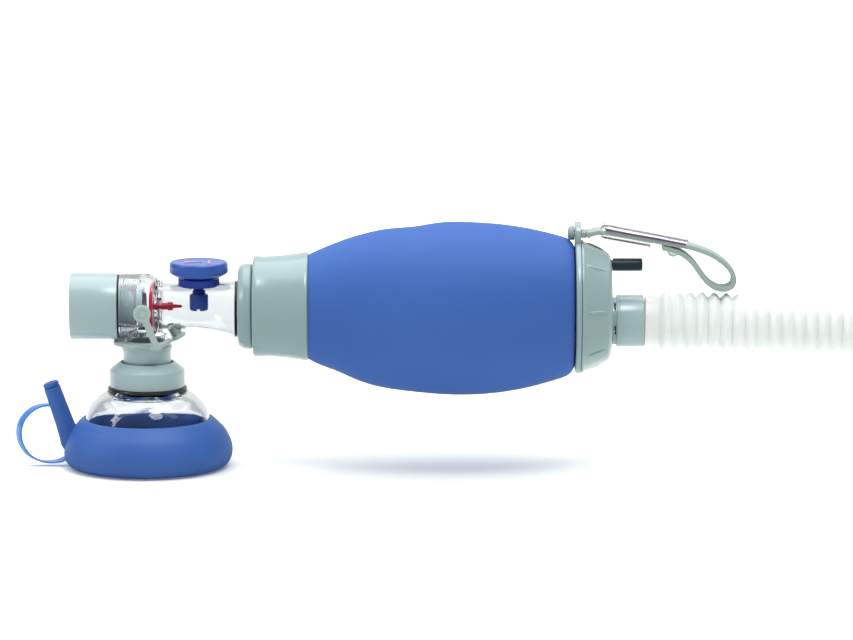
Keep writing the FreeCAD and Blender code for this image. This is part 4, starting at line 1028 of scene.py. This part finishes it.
@dataclass
class SqueezeBag:
    """The silicone bag and the grey collar on its neck. Sizes in millimetres."""

    neck_x: float = 62.4
    end_x: float = 198.8
    wall: float = 2.4
    still_y: float = 31.5
    full_y: float = 42.5
    shape: tuple[Point, ...] = ((75.4, 24.4), (80.4, 26.9), (87.4, 29.9), (94.4, 32.6), (101.4, 34.7), (108.3, 36.4),
                                (115.3, 37.6), (122.3, 38.5), (129.3, 39.2), (136.2, 39.8), (143.2, 40.1),
                                (150.2, 40.1), (157.2, 39.8), (164.1, 39.2), (171.1, 38.2), (178.1, 36.9),
                                (185.1, 35.2), (191.2, 33.5), (195.0, 32.2), (197.0, 30.8), (198.1, 29.4),
                                (198.7, 27.8))
    sag: float = 1.1
    dents: tuple[Dent, ...] = (Dent((124.0, -4.0, 114.0), (9.0, 30.0, 8.0), -0.75),
                               Dent((138.0, -6.0, 115.0), (13.0, 30.0, 10.0), 0.5),
                               Dent((90.0, -5.0, 45.0), (9.0, 26.0, 9.0), -0.9),
                               Dent((101.0, -22.0, 58.0), (16.0, 24.0, 26.0), 0.55),
                               Dent((112.0, -36.0, 96.0), (20.0, 14.0, 16.0), -0.5),
                               Dent((168.0, -32.0, 92.0), (22.0, 16.0, 18.0), 0.45),
                               Dent((182.0, 24.0, 60.0), (20.0, 20.0, 20.0), -0.7),
                               Dent((110.0, 30.0, 88.0), (22.0, 20.0, 22.0), 0.6))

    def whole(self) -> Object:
        """The whole bag as one moulding."""
        outline = [(self.neck_x, 21.8), (67.2, 22.1), (72.0, 23.1), *smooth_run(self.shape, 3)]
        bag = lathe("bag_moulding", outline, Turn.X, steps=160, closed=False, crease=60)
        for vertex in bag.data.vertices:
            place = vertex.co * 1000
            outward = Vector((0, place.y, place.z - AXIS_Z)).normalized()
            move = 0.0
            for dent in self.dents:
                off = Vector([(a - b) / c for a, b, c in zip(place, dent.centre, dent.reach)])
                move += dent.depth * math.exp(-off.length_squared)
            fade = min(1.0, max(0.0, (place.x - 76.0) / 6.0)) * min(1.0, max(0.0, (195.0 - place.x) / 8.0))
            vertex.co += outward * move * fade * 0.001
            span = min(1.0, max(0.0, (place.x - 68.0) / (self.end_x + 6.0 - 68.0)))
            vertex.co.z -= self.sag * math.sin(math.pi * span) ** 0.8 * 0.001
        return apply(bag, "SOLIDIFY", thickness=self.wall * 0.001, offset=-1.0)

    def half(self, whole: Object, name: str, near: bool) -> Object:
        """One side of the bag, with the whole bag's shading across the join."""
        half = whole.copy()
        half.data = whole.data.copy()
        bpy.context.scene.collection.objects.link(half)
        named(half, name)
        activate(half)
        bpy.ops.object.mode_set(mode="EDIT")
        bpy.ops.mesh.select_all(action="SELECT")
        bpy.ops.mesh.bisect(plane_co=(0, 0, 0), plane_no=(0, 1, 0), use_fill=True, clear_outer=near,
                            clear_inner=not near, threshold=0.00001)
        deselect()
        apply(half, "DATA_TRANSFER", object=whole, use_loop_data=True, data_types_loops={"CUSTOM_NORMAL"},
              loop_mapping="NEAREST_POLYNOR")
        return half

    def build(self) -> None:
        """Builds the bag as a near and a far side, and its collar."""
        whole = self.whole()
        for name, near, wall in (("bag_near_side", True, "near_wall"), ("bag_far_side", False, "far_wall")):
            side = self.half(whole, name, near)
            dress(side, SILICONE, "", "bag_shell", "bag_near_wall" if near else "bag_far_wall")
            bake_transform(side)
        bpy.data.objects.remove(whole)
        self.collar()

    def collar(self) -> Object:
        """The grey collar, waisted a little, with full rounded ends."""
        x0, x1 = 49.5, 75.2
        outside = smooth_run([(x0 + 1.4, 23.45), (x0 + 6.5, 23.3), (x0 + 14.0, 23.8), (x1 - 5.0, 24.7),
                              (x1 - 1.9, 25.25)], 5)
        outline = [(x0, 16.3), (x0, 22.2), (x0 + 0.15, 22.8), (x0 + 0.6, 23.25), *outside, (x1 - 1.0, 25.3),
                   (x1 - 0.35, 25.05), (x1, 24.5), (x1, 24.3), (67.2, 22.4), (62.2, 22.0), (62.2, 18.6),
                   (58.4, 18.6), (58.4, 16.3)]
        return dress(lathe("front_collar_grey", outline, Turn.X, steps=128, crease=32), GREY, "bag", "front_collar")


# ---- Inlet end ----


@dataclass
class InletHousing:
    """The grey back shell, its rim, ribs and connectors. Sizes in millimetres."""

    rim_r: float = 31.3
    rib_count: int = 8
    first_rib: float = 87.0
    ear_top: float = 114.8
    ear_width: float = 15.0
    pivot_z: float = 109.2
    inlet_z: float = 68.2
    oxygen_z: float = 94.6

    def rim(self) -> Object:
        """The front rim ring with its ear."""
        x0, x1, r = 199.0, 201.6, self.rim_r
        outline = [(x0, 28.2), (x0, r - 1.0), (x0 + 0.2, r - 0.45), (x0 + 0.6, r - 0.1), (x0 + 1.1, r), (x1 - 0.6, r),
                   (x1 - 0.15, r - 0.15), (x1, r - 0.5), (x1, 28.2)]
        ring = lathe("bag_rim_grey", outline, Turn.X, steps=128)
        half = self.ear_width / 2
        round_z = self.ear_top - half
        top = [(half * math.cos(k * math.pi / 24), round_z + half * math.sin(k * math.pi / 24)) for k in range(25)]
        outline = [(half, AXIS_Z + r - 3), *top, (-half, AXIS_Z + r - 3)]
        ear = chain("ear", [mm(x0 - 0.1, y, z) for y, z in outline])
        bpy.ops.mesh.edge_face_add()
        bpy.ops.mesh.extrude_region_move(TRANSFORM_OT_translate={"value": mm(x1 - x0 + 0.2, 0, 0)})
        bpy.ops.mesh.select_all(action="SELECT")
        bpy.ops.mesh.normals_make_consistent(inside=False)
        deselect()
        boolean(ear, [block("slot", (x0 - 2, -4.2, self.pivot_z - 1.7), (x1 + 2, 4.2, self.pivot_z + 1.7))])
        soften(ear, 0.7, crease=50, segments=3)
        boolean(ring, [ear], "UNION")
        soften(ring, crease=35)
        return dress(ring, GREY, "bag", "bag_clamp_ring")

    def rib(self) -> Object:
        """One long, low grip rib, pointed at both ends, on top of the cone."""
        deselect()
        bpy.ops.mesh.primitive_uv_sphere_add(segments=32, ring_count=16, radius=0.001)
        rib = bpy.context.object
        rib.scale = (5.2, 1.0, 1.0)
        rib.rotation_euler = (0, math.atan2(5.2, 10.9), 0)
        rib.location = mm(208.8, 0, AXIS_Z + 27.3)
        return settled(named(rib, "grip_rib"))

    def shell(self) -> Object:
        """The conical shell with its grip ribs and rounded rear face."""
        outside = [(201.75, 27.6), (201.75, 30.7), (201.9, 31.0), (202.5, 31.0), (202.85, 30.8), (203.0, 30.45),
                   (203.2, 30.2), (213.7, 25.5)]
        rear = smooth_run([(214.15, 25.2), (215.1, 24.1), (215.8, 22.3), (216.2, 19.6)], 4)
        outline = outside + rear + [(216.45, 12.0), (216.5, 0.0)]
        inside = [(214.3, 0.0), (214.2, 20.2), (212.3, 22.8), (203.2, 27.9)]
        piece = lathe("inlet_housing_grey", outline + inside, Turn.X, steps=128, closed=True, crease=32)
        first = self.rib()
        ribs = []
        place = Matrix.Translation(mm(0, 0, AXIS_Z))
        for turn in range(self.rib_count):
            rib = first.copy()
            rib.data = first.data.copy()
            bpy.context.scene.collection.objects.link(rib)
            angle = math.radians(self.first_rib + turn * 360 / self.rib_count)
            rib.data.transform(place @ Matrix.Rotation(angle, 4, "X") @ place.inverted())
            ribs.append(rib)
        bpy.data.objects.remove(first)
        boolean(piece, ribs, "UNION")
        boolean(piece, [drum("air_hole", 9.6, (208, 0, self.inlet_z), (220, 0, self.inlet_z), 64),
                        drum("oxygen_hole", 2.2, (208, 0, self.oxygen_z), (220, 0, self.oxygen_z), 32)])
        soften(piece, crease=32)
        return dress(piece, GREY, "bag", "inlet_housing")

    def nipple(self) -> Object:
        """The black oxygen nipple."""
        outline = [(214.4, 1.7), (214.4, 2.1), (216.6, 2.1), (216.6, 3.0), (229.8, 3.0), (230.2, 2.85), (230.4, 2.5),
                   (230.4, 1.9), (230.2, 1.7)]
        return dress(lathe("oxygen_nipple_black", outline, Turn.X, (0, self.oxygen_z), steps=48), NIPPLE, "bag",
                     "oxygen_nipple")

    def connector(self) -> Object:
        """The grey reservoir connector on its slotted neck."""
        outline = [(214.8, 8.4), (214.8, 9.5), (216.6, 9.5), (216.6, 11.0), (218.4, 11.0), (218.4, 11.9), (218.6, 12.15),
                   (219.2, 12.2), (219.4, 12.05), (219.7, 12.05), (219.9, 12.2), (230.5, 12.2), (230.85, 12.1),
                   (231.0, 11.8), (231.0, 10.4), (219.4, 10.4), (217.8, 8.4)]
        piece = lathe("reservoir_connector_grey", outline, Turn.X, (0, self.inlet_z), steps=96)
        windows = []
        place = Matrix.Translation(mm(0, 0, self.inlet_z))
        for turn in range(6):
            window = block("window", (217.1, -2.2, self.inlet_z), (217.9, 2.2, self.inlet_z + 14))
            window.data.transform(place @ Matrix.Rotation(math.radians(45 + 60 * turn), 4, "X") @ place.inverted())
            windows.append(window)
        boolean(piece, windows)
        soften(piece, crease=32)
        return dress(piece, PALE_GREY, "bag", "reservoir_connector")

    def build(self) -> None:
        """Builds the inlet end."""
        self.rim()
        self.shell()
        self.nipple()
        self.connector()


@dataclass
class HangingStrap:
    """The rubber strap through the rim's ear, with its loop, stud and label sleeve. Sizes in millimetres."""

    pivot: Point = (205.2, 109.2)
    width: float = 11.5
    thickness: float = 2.3
    tilt: float = math.atan2(109.7 - 102.0, 251.6 - 211.4)

    def anchor(self) -> Object:
        """The mushroom head in front of the ear and the neck through its slot."""
        x, z = self.pivot
        head = lathe("strap_head_rubber", [(195.6, 0.0), (195.6, 1.6), (195.9, 2.7), (196.5, 3.4), (197.3, 3.75),
                     (198.2, 3.75), (198.6, 3.4), (198.6, 0.0)], Turn.X, (0, z), steps=48, closed=False)
        boolean(head, [block("flat", (190, -8, 95), (198.7, 8, 106.45))])
        neck = block("neck", (197.6, -3.9, z - 1.1), (202.0, 3.9, z + 1.1), 0.3)
        stop = block("stop", (201.75, -self.width / 2, z - 1.4), (x, self.width / 2, z + 1.4), 0.4)
        boolean(head, [neck, stop], "UNION")
        boolean(head, [drum("cup", 1.8, (x, -9, z), (x, 9, z), 48)])
        soften(head, crease=40)
        return dress(head, STRAP, "bag", "strap_anchor")

    def strap(self) -> Object:
        """The strap, looped back on itself with its tail under the lead."""
        x, z = self.pivot
        line = smooth_run([(x, z), (208.0, 110.0), (211.0, 110.4), (219.0, 109.4), (238.0, 105.9), (248.0, 104.3),
                           (255.0, 102.6), (262.6, 99.6), (269.0, 95.0), (272.4, 90.0), (272.2, 85.8), (269.2, 83.8),
                           (265.2, 84.0), (261.0, 86.4), (257.4, 90.6), (254.0, 95.4), (250.4, 98.9),
                           (246.4, 101.2), (242.6, 102.4), (239.4, 103.0)], 4)
        strap = band("hanging_strap_rubber", line, self.width, self.thickness, round_edge=0.7)
        knuckle = drum("knuckle", 1.45, (x, -self.width / 2, z), (x, self.width / 2, z), 48)
        soften(knuckle, 0.4)
        boolean(strap, [knuckle], "UNION")
        soften(strap, crease=40)
        return dress(strap, STRAP, "strap", "hanging_strap")

    def stud(self) -> Object:
        """The clear half-round press stud under the tail."""
        outline = [(0.4, 0.0), (0.4, 2.3), (0.0, 2.7), (-0.7, 2.62), (-1.5, 2.2), (-2.2, 1.3), (-2.5, 0.4), (-2.55, 0.0)]
        stud = lathe("press_stud_clear", outline, Turn.Z, (0, 0), steps=48, closed=False, crease=50)
        stud.data.transform(Matrix.Translation(mm(244.4, 0, 100.7)) @ Matrix.Rotation(self.tilt, 4, "Y"))
        return dress(stud, CLEAR, "strap", "snap_stud")

    def tilted(self, piece: Object) -> Object:
        """Moves a piece modelled flat at the origin to the sleeve's place on the strap."""
        piece.data.transform(Matrix.Translation(mm(211.2, 0, 110.4)) @ Matrix.Rotation(self.tilt, 4, "Y"))
        return piece

    def sleeve(self) -> Object:
        """The clear sleeve, folded round the strap at its front end."""
        line = [(23.6, -2.2), (2.0, -2.4), (0.6, -2.1), (-0.2, -1.3), (-0.5, 0.2), (-0.3, 1.9), (0.5, 2.9), (2.0, 3.3),
                (20.0, 3.3), (40.6, 3.1)]
        sleeve = band("label_sleeve_clear", line, 13.4, 0.5, round_edge=0.15)
        slot = block("slot", (-3.0, -6.0, -1.4), (1.4, 6.0, 1.4))
        boolean(sleeve, [slot])
        soften(sleeve, crease=40)
        return dress(self.tilted(sleeve), FILM, "strap", "label_sleeve")

    def card(self) -> Object:
        """The blank label under the sleeve's upper leaf, a little bowed, over a darker, wider sheet that paints the
        shade along its edges.
        """
        line = smooth_run([(1.6, 2.5), (12.0, 2.3), (26.0, 2.5), (39.4, 2.4)], 4)
        card = band("label_card_blank", line, 12.2, 0.3, round_edge=0.06)
        # Painted shade: a dark sheet, a little wider than the card and under it, standing in for the shade along the
        # card's edges.
        below = band("label_backing_dark", [(x, z - 0.6) for x, z in line], 13.0, 0.7, round_edge=0.08)
        dress(self.tilted(below), CARD_PAINTED_SHADE, "strap", "label_card")
        return dress(self.tilted(card), CARD, "strap", "label_card")

    def build(self) -> None:
        """Builds the strap and what is on it."""
        self.anchor()
        self.strap()
        self.stud()
        self.sleeve()
        self.card()


def finish_hidden(frame: dict) -> None:
    """Gives the inner CAD parts, which stay as they are, their materials."""
    for node, finish in (("expiratory_grille", GREY), ("intake_seat", GREY), ("intake_valve", RED),
                         ("neck_clamp", GREY), ("relief_spring", STEEL)):
        part = frame["nodes"][node]
        part.data.materials.clear()
        part.data.materials.append(finish.material())


def main() -> None:
    """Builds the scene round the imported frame."""
    logging.basicConfig(level=logging.INFO, format="%(name)s: %(message)s")
    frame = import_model()
    Studio().build()
    for assembly in (ReservoirTube(), PatientValve(), ReliefValve(), PortCap(), FaceMask(), SqueezeBag(),
                     InletHousing(), HangingStrap()):
        LOG.info("building %s", type(assembly).__name__)
        assembly.build()
    finish_hidden(frame)


if __name__ == "__main__":
    main()
